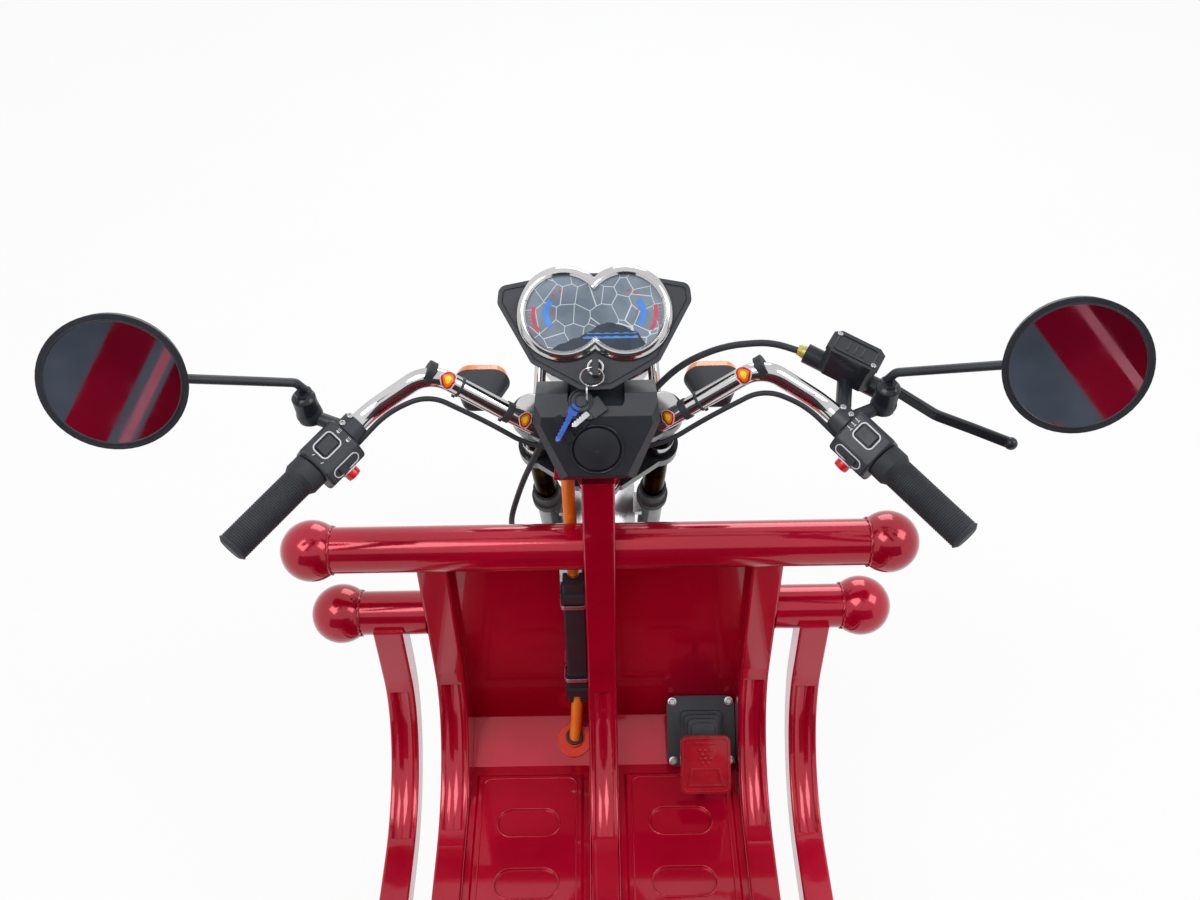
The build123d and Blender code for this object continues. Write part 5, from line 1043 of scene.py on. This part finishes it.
def seat_pad(node, flat_axis, channels):
    """One padded seat piece in the space of its solid."""
    low, high = (Vector(corner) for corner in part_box(node))
    inset = Vector((CUSHION_INSET * MM,) * 3)
    made = rounded_block(node + "_pad", low + inset, high - inset, PAD_CORNER)
    inflate(made)
    sew(made, channels, flat_axis)
    other = 3 - flat_axis
    size, middle = (high - low) / MM, (high + low) / 2 / MM
    outline = []
    for x, y in rounded(size.x, size[other], PIPING_CORNER, 14):
        spot = Vector((middle.x + x, 0, 0))
        spot[other], spot[flat_axis] = middle[other] + y, high[flat_axis] / MM - PIPING_IN
        outline.append(spot)
    finish_pad(made, node, outline)


# The load bed's small parts

def bed_fasteners():
    """Bolt heads along the bed's corner posts, and the tailgate's latches."""
    low, high = (Vector(corner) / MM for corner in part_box("bed_sides"))
    bolts, latches = shape(), shape()
    for side in (-1, 1):
        x = high.x if side > 0 else low.x
        for y in (low.y + 15, high.y - 15):
            for share in (0.15, 0.5, 0.85):
                spot = Vector((x, y, low.z + (high.z - low.z) * share))
                add(bolts, *hex_bolt(11, 6, 17), local_frame(spot, UP, (side, 0, 0)))
        place = local_frame(Vector((x, low.y + 40, high.z - 52)), AHEAD, (side, 0, 0))
        add(latches, *plate(moved(rounded(58, 18, 6), 0, 0), 0, 3), place)
        handle = [Vector((-26 + 52 * i / 12, 5 * math.sin(math.pi * i / 12), 8)) for i in range(13)]
        add(latches, *tube([place @ p for p in handle], 3.2 * MM, 10))
    piece("bed_bolts", bolts, "chassis", "steel")
    piece("gate_latches", latches, "chassis", "black_steel", bevel=0.6)


# Camera, light and floor

CAMERA_PLACE = (0.00784, -0.13087, 1.82108)
CAMERA_DOWN, CAMERA_YAW, CAMERA_ROLL = 42.42, -0.27, -1.14
CAMERA_LENS = 34.21
FLOOR_HALF, FLOOR_GLOW = 30.0, 0.9


def make_camera():
    """The photograph's view: above and behind the handlebar, looking ahead and down."""
    down, yaw, roll = (math.radians(a) for a in (CAMERA_DOWN, CAMERA_YAW, CAMERA_ROLL))
    ahead = Vector((math.sin(yaw) * math.cos(down), math.cos(yaw) * math.cos(down), -math.sin(down)))
    right = Vector((math.cos(yaw), -math.sin(yaw), 0))
    up = right.cross(ahead)
    across = right * math.cos(roll) + up * math.sin(roll)
    rise = up * math.cos(roll) - right * math.sin(roll)
    data = bpy.data.cameras.new("photo_camera")
    data.lens = CAMERA_LENS
    data.sensor_width = 36
    data.clip_start, data.clip_end = 0.02, 100
    camera = placed("photo_camera", data)
    columns = Matrix((across, rise, -ahead)).transposed()
    camera.matrix_world = Matrix.Translation(CAMERA_PLACE) @ columns.to_4x4()
    bpy.context.scene.camera = camera


def make_world():
    """A plain pale sky: white where it is seen, softer where it lights."""
    world = bpy.data.worlds.new("studio")
    bpy.context.scene.world = world
    tree = Tree(world)
    soft = tree.feed(tree.nodes["Background"], {"Color": (0.94, 0.97, 1.0, 1), "Strength": 0.55})
    white = tree.node("ShaderNodeBackground", {"Color": (1, 1, 1, 1)})
    mix = tree.blend(tree.seen_directly(), soft.outputs[0], white.outputs[0])
    tree.feed(tree.nodes["World Output"], {"Surface": mix})


def backdrop(name, corners, material):
    """A plain rectangle between four corners, with its material."""
    mesh = bpy.data.meshes.new(name)
    mesh.from_pydata(corners, [], [(0, 1, 2, 3)])
    mesh.materials.append(material)
    return placed(name, mesh)


def make_floor():
    """A plain pale floor that keeps a faint shadow."""
    tree = Material("floor")
    pale = tree.mottled(3, (0.82, 0.82, 0.82), (0.86, 0.86, 0.86))
    matt = tree.feed(tree.shader, {"Roughness": 0.9, "Base Color": pale}).outputs[0]
    bright = tree.blend(FLOOR_GLOW, matt, tree.nodes.new("ShaderNodeEmission").outputs[0])
    mix = tree.blend(tree.seen_directly(), matt, bright)
    tree.feed(tree.nodes["Material Output"], {"Surface": mix})
    far = FLOOR_HALF
    corners = [(-far, -far, 0), (far, -far, 0), (far, far, 0), (-far, far, 0)]
    floor = backdrop("floor", corners, tree.material)


# Columns: name, place, target, side in metres, watts
LAMPS = (
    ("key_lamp", (-1.6, -0.6, 4.2), (0, 0.6, 0.6), 2.2, 70),
    ("fill_lamp", (2.4, 0.2, 3.2), (0, 0.6, 0.6), 1.6, 34),
    ("front_lamp", (0.4, 4.2, 2.6), (0, 0.8, 0.6), 2.0, 40),
)


def make_lamps():
    """Soft studio panels."""
    for name, place, target, side, watts in LAMPS:
        data = bpy.data.lights.new(name, "AREA")
        data.size = side
        data.energy = watts
        lamp = placed(name, data)
        lamp.location = place
        lamp.rotation_euler = (Vector(target) - Vector(place)).to_track_quat("-Z", "Y").to_euler()


# Painted reflections: the red cards paint red bands into the mirrors, the glow cards a pink painted
# highlight within them, the dark card dark bands in the chrome
# Columns: name, middle, lean from upright in degrees, width and height in metres, dark and light colour
CARDS = (
    ("dark_reflection_card", (0, -3.4, 1.2), 0, 7.0, 3.6, (0.04, 0.047, 0.06), (0.1, 0.115, 0.14)),
    ("left_red_card", (-0.5, -0.95, 1.16), 34, 0.1, 0.9, (0.1, 0.001, 0.008), (0.26, 0.004, 0.02)),
    ("left_highlight_card", (-0.425, -0.94, 1.12), 34, 0.022, 0.9, (0.3, 0.06, 0.08), (0.45, 0.13, 0.16)),
    ("left_low_card", (-0.375, -0.95, 1.1), 34, 0.06, 0.9, (0.08, 0.001, 0.007), (0.18, 0.003, 0.014)),
    ("right_red_card", (0.5, -0.95, 1.16), -42, 0.1, 0.9, (0.1, 0.001, 0.008), (0.26, 0.004, 0.02)),
    ("right_highlight_card", (0.575, -0.94, 1.16), -42, 0.022, 0.9, (0.3, 0.06, 0.08), (0.45, 0.13, 0.16)),
    ("right_low_card", (0.63, -0.95, 1.16), -42, 0.06, 0.9, (0.08, 0.001, 0.007), (0.18, 0.003, 0.014)),
)


def make_reflection_cards():
    """Glowing cards behind the vehicle that only mirrors and bright metal see: painted reflections, red
    bands with a pink painted highlight for the mirrors and a dark sheet for dark bands in the chrome.
    """
    for name, middle, lean, width, height, dark, light in CARDS:
        tree = Material(name)
        glow = tree.node("ShaderNodeEmission", {"Color": tree.mottled(1.5, dark, light, 0.35, 0.65)})
        tree.feed(tree.nodes["Material Output"], {"Surface": glow.outputs[0]})
        w, h = width / 2, height / 2
        card = backdrop(name, [(-w, 0, -h), (w, 0, -h), (w, 0, h), (-w, 0, h)], tree.material)
        card.location = middle
        card.rotation_euler = (0, math.radians(lean), 0)
        for kind in ("visible_camera", "visible_diffuse", "visible_shadow", "visible_transmission"):
            setattr(card, kind, False)


make_camera()
make_world()
make_floor()
make_lamps()
make_reflection_cards()
instrument()
switch_details()
grip_ribs()
flame_bands()
master_details()
lever_pivot()
mirror_trim()
button_rim()
keys()
ribbed_conduit()
sleeve_clips()
pedal_details()
floor_beads()
floor_flanges()
grommet_hole_shade()
weld_beads()
wheel_nuts()
for body_name, tyre_node, _ in WHEELS:
    treaded_tyre(body_name, tyre_node)
seat_pad("seat_cushion", 2, (-110, 0, 110))
seat_pad("seat_back", 1, (-70, 70))
bed_fasteners()
bpy.context.scene.view_settings.view_transform = "Standard"
